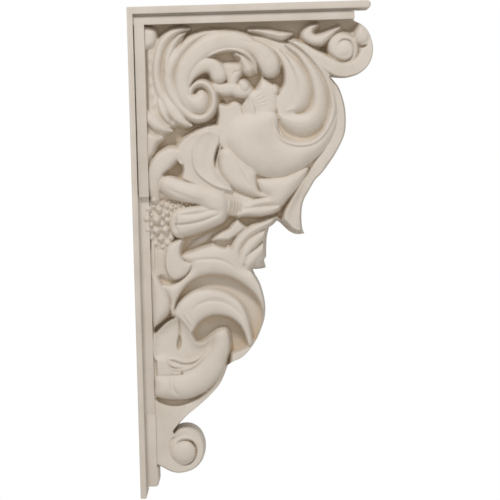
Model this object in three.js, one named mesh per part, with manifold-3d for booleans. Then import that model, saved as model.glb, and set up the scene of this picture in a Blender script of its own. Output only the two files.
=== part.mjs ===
// A carved corbel for a wall: a foliate bracket cast in one piece, both cheeks carved alike.
// Millimetres. +X runs out from the wall, +Z is up, +Y is across. The origin is the middle of the back face.
import * as THREE from "three";
import { mergeVertices } from "three/addons/utils/BufferGeometryUtils.js";
import Module from "manifold-3d";

const wasm = await Module();
wasm.setup();

// Driving sizes
const height = 610; // back plate, top to bottom
const projection = 305; // wall to the nose of the top scroll
const width = 152; // across the cap and the back plate
const capThickness = 9; // top slab
const capSetback = 3; // nose of the scroll to the cap's front edge
const filletHeight = 13.5; // plain band under the cap
const filletOverhang = 20; // the cap's front edge stands this far past the band
const filletStep = 6; // the cap and the plate stand this far past the band on each cheek
const plateThickness = 7.5; // back plate
const stileWidth = 13.5; // upright band in front of the plate
const stileDrop = 236; // the upright band's full height ends this far below the top
const stileFootGap = 12; // the plate runs on this far below the lower band
const lowerStileSink = 9; // the lower band lies this far below the upper one
const reliefDepth = 30; // ground of the carving to the face of the plain band
const groundSink = 6; // strokes reach this far under the ground

// The drawing that the carving was measured on: its frame, in the same millimetres
const drawn = { projection: 305, height: 610, frameOut: 21, frameDown: 22.5, relief: 30 };

const frameOut = plateThickness + stileWidth;
const frameDown = capThickness + filletHeight;
const halfWidth = width / 2;
const faceY = halfWidth - filletStep; // face of the plain bands
const groundY = faceY - reliefDepth; // ground of the carving
const topZ = height / 2;

// Places a point of the drawing, [out from the wall, down from the top], inside the frame.
const outward = (out) =>
  frameOut + ((out - drawn.frameOut) * (projection - frameOut)) / (drawn.projection - drawn.frameOut);
const upward = (down) =>
  topZ - frameDown - ((down - drawn.frameDown) * (height - frameDown)) / (drawn.height - drawn.frameDown);
const raised = (lift) => (lift * reliefDepth) / drawn.relief;

// The silhouette below the plain band, as smooth runs between corners
const silhouette = [
  { by: [[282, 23], [293, 30], [302, 43], [305, 57], [301.5, 75], [288, 89], [270, 94]], to: [252, 93.5] },
  { by: [[263, 113], [269, 135], [268, 160], [257, 187], [239, 211], [221, 233], [212, 252], [210, 270]], to: [213, 288.5] },
  { by: [[203, 289], [192, 283]], to: [179, 271] },
  { by: [], to: [168.5, 280] },
  { by: [[166, 293]], to: [164.5, 315] },
  { by: [], to: [161.5, 320] },
  { by: [], to: [163.5, 329.5] },
  { by: [], to: [147, 331] },
  { by: [[155, 347], [161, 372], [159, 397], [150, 418], [134, 436]], to: [113, 449.5] },
  { by: [[105, 462], [88, 481.5], [68, 500]], to: [52, 515] },
  { by: [[62, 517], [74, 527], [81, 543], [79.5, 562], [69, 574.5], [51, 579.5], [35, 577]], to: [18, 566] },
];
const silhouetteStart = [276, 15]; // inside the plain band

// The front across: [distance from the middle, depth below the silhouette]; a rib between two hollows
const frontSection = [[0, 0], [9, 1], [13, 4.5], [38, 1.5], [76, 4.5]];

// Each stroke of the carving: knots of [out, down, half width, height above the ground]
const strokes = {
  // the sheath of leaves that wraps the upper scroll
  outerFrond: [[72, 29.5, 1, 14], [60, 33, 5, 20], [48, 44, 8, 22], [38, 62, 8, 22], [33, 85, 7.5, 20], [38, 108, 8, 18], [52, 128, 4, 14]],
  splitFrond: [[71, 34, 1, 18], [60, 43, 4, 25], [51, 60, 6, 27], [48, 82, 8, 27], [53, 105, 8, 25], [66, 124, 6, 22], [78, 133, 4, 20]],
  innerFrond: [[122, 33, 1, 18], [104, 37, 4, 24], [85, 45, 5.5, 28], [69, 59, 6, 28], [57, 78, 3.5, 27]],
  mainSheath: [[96, 118, 3, 24], [89, 130, 6, 25], [74, 122, 8.5, 26], [67, 100, 9, 28], [71, 80, 10, 29], [86, 61, 11, 30], [110, 48, 9, 30], [134, 45, 6.5, 29], [150, 49, 4, 27]],
  firstLobe: [[72, 92, 4, 24], [82, 80, 6, 26], [96, 73, 7.5, 28], [109, 79, 9, 30], [112, 90, 7.5, 26]],
  secondLobe: [[112, 55, 3, 26], [132, 58, 6, 28], [147, 67, 8, 30], [151, 78, 8.5, 30], [150, 85, 5, 24]],
  thirdLobe: [[130, 48, 5, 27], [152, 53, 8, 30], [168, 62, 10.5, 31], [176, 76, 12, 31], [176, 86, 6.5, 24]],
  scrollRim: [[77, 104, 2, 22], [86, 97, 4.5, 26], [99, 100, 5.5, 28], [105, 115, 5, 29], [100, 133, 5, 29], [84, 142, 5.5, 28], [66, 136, 5.5, 26], [49, 117, 4, 20]],
  firstTip: [[47, 122, 4, 20], [58, 140, 7, 24], [75, 151, 1.5, 16]],
  secondTip: [[24, 132, 3, 22], [34, 148, 10, 27], [52, 157, 1.5, 18]],
  topLeaf: [[152, 33, 1.5, 18], [180, 38, 5, 23], [203, 37, 1, 18]],
  // the hooked leaf, the flower bell and its neck
  hookLeaf: [[61, 193, 3, 20], [55, 181, 7, 25], [40, 185, 9, 27], [29, 203, 8, 28], [28, 220, 6, 27], [34, 233, 4, 22]],
  upperPetal: [[112, 250, 9, 24], [98, 242, 12, 28], [74, 233, 11, 30], [50, 225, 11, 29], [34, 221, 4, 18]],
  lowerPetal: [[112, 256, 9, 26], [92, 260, 9, 28], [72, 264, 8.5, 28], [54, 265, 4, 20]],
  underPetal: [[112, 264, 5, 22], [94, 271, 6.5, 26], [76, 278, 7, 26], [56, 280, 4, 20]],
  bellNeck: [[116, 240, 4, 16], [129, 247, 9, 18], [136, 257, 6, 16]],
  // the broad leaves under the horn
  spoonLeaf: [[99, 158, 7, 20], [93, 173, 14, 25], [93, 192, 13, 26], [104, 211, 8, 24], [122, 225, 2, 20]],
  spoonBack: [[80, 164, 5, 12], [69, 180, 7, 18], [71, 202, 8, 21], [88, 219, 8.5, 24], [122, 233, 3, 20]],
  broadLeaf: [[116, 184, 5, 20], [123, 197, 12, 25], [136, 211, 15, 27], [152, 227, 8, 25], [166, 240, 1.5, 16]],
  longStalk: [[104, 231, 4, 16], [126, 236, 6, 18], [148, 243, 6, 20], [168, 246, 5, 18]],
  throatLeaf: [[212, 216, 3, 14], [198, 225, 8, 20], [180, 232, 13, 24], [160, 246, 8, 24], [142, 252, 3, 18]],
  crossLeaf: [[173, 270, 1.5, 16], [156, 278, 5.5, 21], [140, 283, 8, 23], [127, 282, 9, 23], [112, 287, 3, 18]],
  noseLeaf: [[167, 280, 3, 22], [155, 292, 12, 27], [146, 307, 16, 28], [146, 320, 11, 25], [148, 330, 3, 18]],
  // the horn, its lip and the shell inside it
  horn: [[160, 137, 9, 22], [149, 153, 24, 29], [151, 173, 31, 34], [168, 191, 27, 35], [190, 198, 22, 34], [211, 195, 17, 33], [229, 185, 12, 31], [244, 169, 7.5, 29], [253, 148, 4.5, 27], [251, 116, 3, 24], [240, 94, 2.5, 22]],
  hornLip: [[181, 141, 3, 22], [182, 158, 3.5, 25], [196, 174, 3.5, 28], [218, 174.5, 3.5, 28], [238, 162, 3.5, 28], [249, 142, 3, 27], [247, 113, 2.5, 25], [230, 84, 2.5, 23], [190, 54, 2, 20]],
  shellRoll: [[186, 148, 6, 20], [198, 158, 12, 28], [218, 156, 14.5, 31], [236, 140, 11.5, 30], [240, 121, 8.5, 29], [233, 97, 7, 27], [214, 72, 5.5, 25], [184, 52, 3, 22]],
  shellFace: [[192, 130, 8, 14], [205, 120, 18, 20], [208, 102, 18, 22], [202, 79, 12, 23], [184, 58, 4, 22]],
  // the lower scroll
  coveRidge: [[48, 370, 3, 18], [54, 349, 7, 21], [70, 330, 10, 24], [96, 318, 13, 26], [122, 326, 11, 26], [144, 349, 7.5, 26], [155, 376, 5, 25], [155, 404, 5, 24], [134, 433, 6, 20]],
  innerArch: [[49, 385, 2, 18], [60, 371, 8, 24], [88, 361, 9.5, 28], [114, 368, 9.5, 28], [131, 389, 8, 26], [138, 424, 3, 16]],
  archSoffit: [[68, 397, 4, 20], [80, 382, 9, 26], [104, 377, 9, 27], [122, 388, 7, 24], [131, 405, 4, 18]],
  bigCurl: [[108, 402, 5, 22], [106, 420, 9.5, 28], [95, 444, 12, 31], [76, 462, 15, 33], [56, 470, 16, 32], [38, 471, 13, 29], [24, 469, 8, 25]],
  curlHollow: [[66, 404, 8, 14], [79, 417, 12, 17], [76, 434, 11, 18], [54, 446, 7, 20], [32, 448, 8, 20]],
  innerLeaf: [[54, 393, 3, 18], [45, 402, 9, 23], [38, 415, 14, 25], [37, 432, 12, 16]],
  bandLeaf: [[22, 335, 2, 20], [30, 352, 8, 24], [35, 370, 11, 26], [30, 387, 9, 26], [16, 402, 1.5, 28]],
  cupLeaf: [[52, 297, 6, 18], [50, 312, 10, 23], [57, 326, 10, 25], [68, 323, 3, 20]],
  // the edge of the silhouette, the top scroll and the foot
  edgeBand: [[216, 48, 2, 20], [236, 68, 4, 23], [253, 96, 5, 23], [262, 130, 5.5, 23], [261, 164, 6, 23], [246, 196, 8, 21], [222, 225, 9.5, 20], [203, 254, 11, 21], [200, 275, 12.5, 22], [208, 288, 7, 20]],
  scrollStem: [[207, 46, 3, 20], [226, 60, 5, 24], [250, 77, 7, 26], [274, 84, 8.5, 27], [293, 75, 9, 27], [298, 57, 8, 27], [292, 38, 6, 25], [281, 27, 4, 18]],
  scrollCoil: [[256, 68, 3, 22], [252, 56, 4, 24], [263, 43, 4.5, 26], [279, 48, 4.5, 26], [283, 62, 3, 25], [268, 77, 2.5, 22]],
  waveLeaf: [[236, 30, 1, 18], [222, 37, 6, 24], [227, 49, 6, 25], [242, 48, 6, 25], [261, 35, 1, 18]],
  footPanel: [[62, 448, 46, 13], [52, 480, 34, 13], [42, 520, 24, 13], [46, 552, 30, 13], [44, 576, 22, 13]],
  footCoil: [[42, 538, 3, 17], [50, 528, 5, 20], [66, 529, 6.5, 23], [76, 547, 6.5, 24], [70, 567, 6.5, 24], [52, 571, 6, 23], [39, 558, 4.5, 20], [40, 546, 3, 18]],
};

// Rounded forms: [out, down, radius, height above the ground]
const bosses = {
  scrollEye: [88, 117, 12, 32],
  topScrollEye: [267, 60, 11.5, 29],
  noseBud: [290, 46, 10, 29],
  footEye: [55, 551, 13.5, 28],
  cornerBud: [26, 37, 9, 24],
  firstKnob: [127, 84, 10, 17],
  secondKnob: [120, 103, 8.5, 19],
  thirdKnob: [137, 104, 10, 20],
  shellKnob: [164, 118, 17, 18],
};
const grapes = [
  [16, 260, 9, 27], [29, 263, 8, 29], [28, 247, 8, 25], [17, 278, 7, 25], [29, 277, 7.5, 28],
  [40, 276, 6.5, 26], [40, 262, 6.5, 25], [34, 288, 6.5, 25], [44, 290, 5, 22],
];

const stepLength = 25; // facets along a stroke
const outlineStep = 18; // facets along the silhouette
const broadSection = [[-1, 0.55], [-0.35, 0.97], [0.35, 0.97], [1, 0.55]]; // place across, share of height
const narrowSection = [[-1, 0.55], [0, 1], [1, 0.55]];
const broadFrom = 8; // half width of a stroke that takes the broad section
const bossLevels = [[1, -groundSink], [1, 0.4], [0.62, 0.88]]; // up a boss: share of radius, share of height
const bossSides = 7;

// Turns a closed three.js geometry into a solid that can be joined and cut, and back.
function solidOf(geometry) {
  const bare = new THREE.BufferGeometry().setAttribute("position", geometry.getAttribute("position"));
  bare.setIndex(geometry.index);
  const merged = mergeVertices(bare, 1e-4);
  return new wasm.Manifold(
    new wasm.Mesh({
      numProp: 3,
      vertProperties: merged.attributes.position.array,
      triVerts: new Uint32Array(merged.index.array),
    }),
  );
}

function geometryOf(solid) {
  const mesh = solid.getMesh();
  const geometry = new THREE.BufferGeometry();
  geometry.setAttribute("position", new THREE.BufferAttribute(mesh.vertProperties, 3));
  geometry.setIndex(new THREE.BufferAttribute(mesh.triVerts, 1));
  return geometry;
}

const joinAll = (solids) => solids.reduce((sum, one) => sum.add(one));

// Skins rings of points into a closed body; the end faces may have any outline.
function skin(rings, faces) {
  const count = rings[0].length;
  const index = [];
  for (let i = 0; i + 1 < rings.length; i++)
    for (let j = 0; j < count; j++) {
      const a = i * count + j;
      const b = i * count + ((j + 1) % count);
      index.push(a, b, a + count, b, b + count, a + count);
    }
  const last = (rings.length - 1) * count;
  for (const [a, b, c] of faces) index.push(a, c, b, last + a, last + b, last + c);
  const geometry = new THREE.BufferGeometry();
  geometry.setAttribute("position", new THREE.Float32BufferAttribute(rings.flat(2), 3));
  geometry.setIndex(index);
  return solidOf(geometry);
}

const fan = (count) => Array.from({ length: count - 2 }, (_, i) => [0, i + 1, i + 2]);

// A carved stroke on the near cheek, standing on the ground of the carving.
function strokeSolid(knots) {
  const places = new THREE.CatmullRomCurve3(knots.map(([out, down]) => new THREE.Vector3(out, down, 0)));
  const sizes = new THREE.CatmullRomCurve3(knots.map(([, , half, lift]) => new THREE.Vector3(half, lift, 0)));
  const steps = Math.max(3, Math.round(places.getLength() / stepLength));
  const section = Math.max(...knots.map(([, , half]) => half)) < broadFrom ? narrowSection : broadSection;
  const rings = [];
  for (let i = 0; i <= steps; i++) {
    const t = i / steps;
    const point = places.getPoint(t);
    const ahead = places.getTangent(t);
    const { x: half, y: lift } = sizes.getPoint(t);
    const across = (q, rise) => [
      outward(point.x - ahead.y * half * q),
      -(groundY + rise),
      upward(point.y + ahead.x * half * q),
    ];
    rings.push([
      across(1, -groundSink),
      across(-1, -groundSink),
      ...section.map(([q, share]) => across(q, raised(lift * share))),
    ]);
  }
  return skin(rings, fan(rings[0].length));
}

// A domed boss on the near cheek.
function bossSolid([out, down, radius, lift]) {
  const rings = bossLevels.map(([reach, share], level) =>
    Array.from({ length: bossSides }, (_, i) => {
      const turn = (-i * 2 * Math.PI) / bossSides;
      return [
        outward(out + radius * reach * Math.cos(turn)),
        -(groundY + (level === 0 ? share : raised(lift * share))),
        upward(down + radius * reach * Math.sin(turn)),
      ];
    }),
  );
  return skin(rings, fan(bossSides));
}

// The silhouette as points, from the plain band round to the foot, then closed behind the upright band.
function outline() {
  const at = ([out, down]) => new THREE.Vector2(outward(out), upward(down));
  const points = [at(silhouetteStart)];
  for (const { by, to } of silhouette) {
    const run = new THREE.SplineCurve([points.at(-1), ...by.map(at), at(to)]);
    const spans = by.length + 1;
    const facets = Math.max(1, Math.round(run.getLength() / spans / outlineStep));
    points.push(...run.getPoints(spans * facets).slice(1));
  }
  const back = plateThickness / 2;
  return [...points, new THREE.Vector2(back, points.at(-1).y), new THREE.Vector2(back, points[0].y)];
}

// The outline drawn in by a depth, square to itself.
function inset(points, depth) {
  return points.map((point, i) => {
    if (i === 0 || i > points.length - 4) return point;
    const before = points[i].clone().sub(points[i - 1]).normalize();
    const after = points[i + 1].clone().sub(points[i]).normalize();
    const inward = new THREE.Vector2(before.y + after.y, -before.x - after.x);
    const square = new THREE.Vector2(before.y, -before.x);
    const stretch = Math.max(0.6, inward.normalize().dot(square));
    return point.clone().addScaledVector(inward, depth / stretch);
  });
}

// The body between the cheeks: the outline carried across at each station.
function carried(points, stations) {
  const rings = stations.map(([y, depth]) => inset(points, depth).map((p) => [p.x, y, p.y]));
  const faces = THREE.ShapeUtils.triangulateShape(points, []);
  const turns = ([a, b, c]) => THREE.ShapeUtils.area([points[a], points[b], points[c]]) > 0;
  const clockwise = THREE.ShapeUtils.isClockWise(points);
  return skin(rings, faces.map((face) => (turns(face) === clockwise ? face.reverse() : face)));
}

function block(x0, x1, half, z0, z1) {
  const box = new THREE.BoxGeometry(x1 - x0, 2 * half, z1 - z0);
  box.translate((x0 + x1) / 2, 0, (z0 + z1) / 2);
  return solidOf(box);
}

function mirrored(solid) {
  const geometry = geometryOf(solid);
  geometry.scale(1, -1, 1);
  const index = geometry.index.array;
  for (let i = 0; i < index.length; i += 3) [index[i + 1], index[i + 2]] = [index[i + 2], index[i + 1]];
  return solidOf(geometry);
}

const near = joinAll([
  ...Object.values(strokes).map(strokeSolid),
  ...Object.values(bosses).map(bossSolid),
  ...grapes.map(bossSolid),
]);
const edge = outline();
const stations = [...frontSection.slice(1).reverse().map(([y, depth]) => [-y, depth]), ...frontSection];
const envelope = carried(edge, stations);
const core = block(0, projection, groundY, -topZ, topZ);
const body = core.add(near).add(mirrored(near)).intersect(envelope);

const capFront = projection - capSetback;
const stileFoot = -topZ + stileFootGap;
const frameSolid = joinAll([
  block(0, capFront, halfWidth, topZ - capThickness, topZ),
  block(0, capFront - filletOverhang, faceY, topZ - frameDown, topZ - capThickness),
  block(0, plateThickness, halfWidth, -topZ, topZ),
  block(0, frameOut, faceY, topZ - stileDrop, topZ - capThickness),
  block(0, frameOut, faceY - lowerStileSink, stileFoot, topZ - stileDrop),
]);
const corbel = body.add(frameSolid);

const stone = new THREE.MeshStandardMaterial({ color: "#d5cbbc", roughness: 0.7, metalness: 0 });
const mesh = new THREE.Mesh(geometryOf(corbel), stone);
mesh.name = "corbel";
const part = new THREE.Group();
part.add(mesh);
export default part;
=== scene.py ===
# A decorative corbel cast in one piece: two carved cheeks, a carved front and a plain moulded frame.
# Drawing places are in millimetres, out from the wall and down from the top, as on a maker's drawing.
import math

import bpy
import numpy as np
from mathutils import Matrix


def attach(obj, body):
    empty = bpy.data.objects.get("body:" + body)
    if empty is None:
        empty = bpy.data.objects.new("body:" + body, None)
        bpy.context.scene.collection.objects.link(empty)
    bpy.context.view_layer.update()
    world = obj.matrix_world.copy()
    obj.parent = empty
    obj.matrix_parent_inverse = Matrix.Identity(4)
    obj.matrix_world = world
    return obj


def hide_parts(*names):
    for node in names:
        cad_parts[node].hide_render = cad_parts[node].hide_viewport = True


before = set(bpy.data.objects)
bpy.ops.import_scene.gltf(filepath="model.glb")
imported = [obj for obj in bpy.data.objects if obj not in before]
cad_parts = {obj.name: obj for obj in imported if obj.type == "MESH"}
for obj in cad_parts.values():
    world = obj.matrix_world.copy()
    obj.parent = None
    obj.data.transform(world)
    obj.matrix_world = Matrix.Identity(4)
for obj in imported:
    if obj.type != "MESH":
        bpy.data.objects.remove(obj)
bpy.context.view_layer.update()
print("loaded the frame")


block = {  # what the corbel is cut from, in millimetres
    "depth": 305,
    "height": 610,
    "halfWidth": 76,
    "aboveMiddle": 305,  # the top of the cap, above the frame's origin
}
casting = {
    "groundFromMiddle": 40,  # from the middle of the corbel to the ground of the relief
    "fillLevel": 19,  # height of the mass that all the foliage grows out of
    "gridStep": .8,  # spacing of the modelled surface before it is thinned
    "gridMargin": 4,  # how far the modelled surface goes past the block
    "pastMiddle": 4,  # how far the cheek's block goes past the middle before it is cut
    "cheekTriangles": 74000,
    "hollowSoftening": 1,  # blur of the hollows before the forms go on
    "softening": .55,  # blur of a casting taken from a carved model
    "mergeMetres": 1e-6,
    "smoothUnder": 38,  # degrees between faces that are shaded as one surface
}
chisel = {
    "wallSlope": 4.5,  # fall of a form's sides for each millimetre out
    "wallReach": 7,  # how far out the sides are drawn
    "areaMargin": 8,  # surface looked at round an area
    "fillet": .8,  # rounding where two forms meet
    "ballFillet": .5,
    "strokeStep": 1.6,  # length of the straight pieces that a stroke is drawn in
    "fewestSteps": 12,
    "thinnest": .35,
    "wideStroke": 6,  # from this half width on, widths and heights are eased into each other
    "strokeEase": 2.2,
    "hollowSlope": 3,
    "pitWall": 2.5,  # width of the steep side inside a pit
    "pitSlope": 6,
    "outOfReach": 99,
    "sectionPlaces": 129,
    "sectionPasses": 6,
}


# shapes across a stroke of carving: place from its right edge to its left edge, and share of its height
crossSections = {
    "round": [(-1, .62), (-.88, .76), (-.6, .91), (0, 1), (.6, .91), (.88, .76), (1, .62)],
    "broad": [(-1, .83), (-.85, .92), (-.5, .985), (0, 1), (.5, .985), (.85, .92), (1, .83)],
    "soft": [(-1, .78), (-.7, .9), (-.35, .98), (0, 1), (.35, .98), (.7, .9), (1, .78)],
    "ridge": [(-1, .7), (-.5, .83), (-.08, .99), (0, 1), (.08, .99), (.5, .83), (1, .7)],
    "scoop": [(-1, .88), (-.88, 1), (-.68, .96), (-.3, .87), (0, .85), (.3, .87), (.68, .96), (.88, 1),
              (1, .88)],
    "highLeft": [(-1, .66), (-.6, .76), (0, .88), (.5, .96), (.8, 1), (.93, .96), (1, .86)],
    "highRight": [(-1, .86), (-.93, .96), (-.8, 1), (-.5, .96), (0, .88), (.6, .76), (1, .66)],
    "fallLeft": [(-1, .82), (-.8, .93), (-.45, .99), (-.2, 1), (.2, .95), (.6, .83), (1, .64)],
    "fallRight": [(-1, .64), (-.6, .83), (-.2, .95), (.2, 1), (.45, .99), (.8, .93), (1, .82)],
    "flat": [(-1, .96), (-.9, 1), (.9, 1), (1, .96)],
    "rising": [(-1, .96), (-.96, 1), (-.86, .84), (-.7, .66), (-.4, .5), (0, .42), (.5, .38), (1, .36)],
}
acrossPlaces = np.linspace(-1, 1, chisel["sectionPlaces"])


def softTable(knots):
    # share of the height at even places across a stroke
    table = np.interp(acrossPlaces, *zip(*knots))
    for _ in range(chisel["sectionPasses"]):
        table[1:-1] = .25 * table[:-2] + .5 * table[1:-1] + .25 * table[2:]
    return table


def smoothBetween(a, b, c, d, f):
    # the curve from b to c that also heads for a and d
    return .5 * (2 * b + (c - a) * f + (2 * a - 5 * b + 4 * c - d) * f * f + (3 * b - a - 3 * c + d) * f ** 3)


def curveThrough(knots, counts):
    # smooth curve through the knots' places, with their other values eased from knot to knot
    knots = np.array(knots, float)
    padded = np.vstack([2 * knots[0] - knots[1], knots, 2 * knots[-1] - knots[-2]])
    t = np.linspace(0, len(knots) - 1, counts)
    i = np.minimum(t.astype(int), len(knots) - 2)
    f = (t - i)[:, None]
    a, b, c, d = padded[i], padded[i + 1], padded[i + 2], padded[i + 3]
    run = smoothBetween(a, b, c, d, f)
    ease = .5 * f + .5 * f * f * (3 - 2 * f)
    run[:, 2:] = (b + (c - b) * ease)[:, 2:]
    return run


def closedCurve(knots, pieces=6):
    knots = np.array(knots, float)
    a, b, c, d = np.roll(knots, 1, 0), knots, np.roll(knots, -1, 0), np.roll(knots, -2, 0)
    points = [smoothBetween(a, b, c, d, f) for f in np.arange(pieces) / pieces]
    return np.stack(points, 1).reshape(-1, 2)


def bellWeights(reach, sigma):
    weights = np.exp(-.5 * (np.arange(-reach, reach + 1) / sigma) ** 2)
    return weights / weights.sum()


def blurred(field, sigma):
    reach = int(math.ceil(3 * sigma))
    weights = bellWeights(reach, sigma)
    padded = np.pad(field, reach, mode="edge")
    padded = sum(w * padded[k:k + field.shape[0], :] for k, w in enumerate(weights))
    return sum(w * padded[:, k:k + field.shape[1]] for k, w in enumerate(weights))


def newRelief():
    step, margin = casting["gridStep"], casting["gridMargin"]
    outs = np.arange(-margin, block["depth"] + margin, step)
    downs = np.arange(-margin, block["height"] + margin, step)
    height = np.full((len(downs), len(outs)), float(casting["fillLevel"]))
    return {"step": step, "outs": outs, "downs": downs, "height": height}


def windowOf(relief, points, reach):
    step, outs, downs = relief["step"], relief["outs"], relief["downs"]
    u0, v0 = np.min(points, 0)[:2] - reach
    u1, v1 = np.max(points, 0)[:2] + reach
    columns = slice(max(0, int((u0 - outs[0]) / step)), min(len(outs), int((u1 - outs[0]) / step) + 2))
    rows = slice(max(0, int((v0 - downs[0]) / step)), min(len(downs), int((v1 - downs[0]) / step) + 2))
    return rows, columns, *np.meshgrid(outs[columns], downs[rows])


def alongStroke(relief, knots, reach):
    # nearest place on the stroke for each grid point: signed distance, half width and height there
    rough = np.array(knots, float)
    length = np.hypot(*np.diff(rough[:, :2], axis=0).T).sum()
    run = curveThrough(rough, max(chisel["fewestSteps"], int(length / chisel["strokeStep"])))
    run[:, 2] = np.maximum(run[:, 2], chisel["thinnest"])
    rows, columns, outs, downs = windowOf(relief, run, run[:, 2].max() + reach)
    shape = outs.shape
    best, distance = np.full(shape, 1e9), np.full(shape, 1e9)
    half, lift = np.full(shape, run[:, 2].mean()), np.full(shape, run[:, 3].mean())
    u0, v0, step = outs[0, 0], downs[0, 0], relief["step"]
    for p, q in zip(run[:-1], run[1:]):
        r = max(p[2], q[2]) + reach
        c0 = max(0, int((min(p[0], q[0]) - r - u0) / step))
        c1 = max(0, int((max(p[0], q[0]) + r - u0) / step) + 2)
        r0 = max(0, int((min(p[1], q[1]) - r - v0) / step))
        r1 = max(0, int((max(p[1], q[1]) + r - v0) / step) + 2)
        uu, vv = outs[r0:r1, c0:c1], downs[r0:r1, c0:c1]
        if uu.size == 0:
            continue
        du, dv = q[0] - p[0], q[1] - p[1]
        t = np.clip(((uu - p[0]) * du + (vv - p[1]) * dv) / (du * du + dv * dv + 1e-9), 0, 1)
        eu, ev = uu - p[0] - t * du, vv - p[1] - t * dv
        d = np.sqrt(eu * eu + ev * ev)
        w = p[2] + t * (q[2] - p[2])
        side = np.where(eu * dv - ev * du >= 0, 1.0, -1.0)
        nearer = d / w < best[r0:r1, c0:c1]
        found = ((best, d / w), (distance, d * side), (half, w), (lift, p[3] + t * (q[3] - p[3])))
        for field, value in found:
            field[r0:r1, c0:c1][nearer] = value[nearer]
    return rows, columns, distance, half, lift


def withWalls(surface, over):
    # steep sides past the edge of a form, and nothing where they end; over is the distance past the edge
    surface = np.where(over > 0, surface - over * chisel["wallSlope"], surface)
    return np.where(over > chisel["wallReach"], -chisel["outOfReach"], surface)


def mergeIn(relief, rows, columns, surface, blend=chisel["fillet"]):
    # the higher surface wins, with a small fillet where the two meet
    height = relief["height"][rows, columns]
    fillet = np.maximum(0, blend - np.abs(height - surface)) ** 2 / (4 * blend)
    relief["height"][rows, columns] = np.maximum(height, surface) + fillet


def carveStroke(relief, section, knots):
    rows, columns, distance, half, lift = alongStroke(relief, knots, chisel["wallReach"])
    if half.max() > chisel["wideStroke"]:
        half, lift = (blurred(field, chisel["strokeEase"] / relief["step"]) for field in (half, lift))
    across = np.clip(distance / half, -1, 1)
    surface = lift * np.interp(across, acrossPlaces, softTable(crossSections[section]))
    mergeIn(relief, rows, columns, withWalls(surface, np.abs(distance) - half))


def cutAlong(relief, knots, rounded):
    rows, columns, distance, half, depth = alongStroke(relief, knots, 1)
    q = np.clip(np.abs(distance) / half, 0, 1)
    relief["height"][rows, columns] -= depth * (.5 + .5 * np.cos(np.pi * q) if rounded else 1 - q)


def carveBall(relief, out, down, radius, lift):
    rows, columns, outs, downs = windowOf(relief, [(out, down)], radius + chisel["wallReach"])
    q = np.hypot(outs - out, downs - down) / radius
    surface = lift * (.3 + .7 * np.sqrt(np.maximum(0, 1 - np.minimum(q, 1) ** 2)))
    mergeIn(relief, rows, columns, withWalls(surface, (q - 1) * radius), chisel["ballFillet"])


def insideArea(outs, downs, points):
    # which grid points lie in a closed area, and how far each is from its edge
    inside, nearest = np.zeros(outs.shape, bool), np.full(outs.shape, 1e9)
    for (x1, y1), (x2, y2) in zip(points, np.roll(points, -1, 0)):
        crossing = (y1 > downs) != (y2 > downs)
        inside ^= crossing & (outs < (x2 - x1) * (downs - y1) / (y2 - y1 if y2 != y1 else 1e-9) + x1)
        du, dv = x2 - x1, y2 - y1
        t = np.clip(((outs - x1) * du + (downs - y1) * dv) / (du * du + dv * dv + 1e-9), 0, 1)
        nearest = np.minimum(nearest, (outs - x1 - t * du) ** 2 + (downs - y1 - t * dv) ** 2)
    return inside, np.sqrt(nearest)


def carveSwell(relief, edge, top, reach, points, smooth=True):
    # a closed form that rises from its edge to its middle, as if it were blown up
    points = closedCurve(points) if smooth else np.array(points, float)
    rows, columns, outs, downs = windowOf(relief, points, chisel["areaMargin"])
    inside, distance = insideArea(outs, downs, points)
    rise = np.clip(distance / reach, 0, 1)
    surface = edge + (top - edge) * np.sqrt(np.maximum(0, 1 - (1 - rise) ** 2))
    surface = np.where(inside, surface, edge)
    if reach > 4:  # a narrow bevel stays crisp
        surface = blurred(surface, min(3, reach / 6) / relief["step"])
    mergeIn(relief, rows, columns, withWalls(surface, np.where(inside, -distance, distance)))


def sinkArea(relief, level, points, isPit):
    # a hollow's sides rise outside its area, before the forms go on, and a pit's steep sides stand inside it
    points = closedCurve(points)
    rows, columns, outs, downs = windowOf(relief, points, chisel["areaMargin"])
    inside, distance = insideArea(outs, downs, points)
    if isPit:
        wall = np.maximum(0, chisel["pitWall"] - distance) * chisel["pitSlope"]
        surface = np.where(inside, level + wall, chisel["outOfReach"])
    else:
        surface = level + np.where(inside, 0, distance * chisel["hollowSlope"])
    relief["height"][rows, columns] = np.minimum(relief["height"][rows, columns], surface)


def carve(relief, work):
    for shape, *values in work.values():
        if shape == "ball":
            carveBall(relief, *values)
        elif shape == "swell":
            carveSwell(relief, *values)
        elif shape == "plate":
            top, bevel, points = values
            carveSwell(relief, top - bevel, top, bevel, points, smooth=False)
        elif shape in ("sink", "pit"):
            sinkArea(relief, *values, shape == "pit")
        elif shape in ("cut", "crease"):
            cutAlong(relief, *values, shape == "crease")
        else:
            carveStroke(relief, shape, *values)


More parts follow.
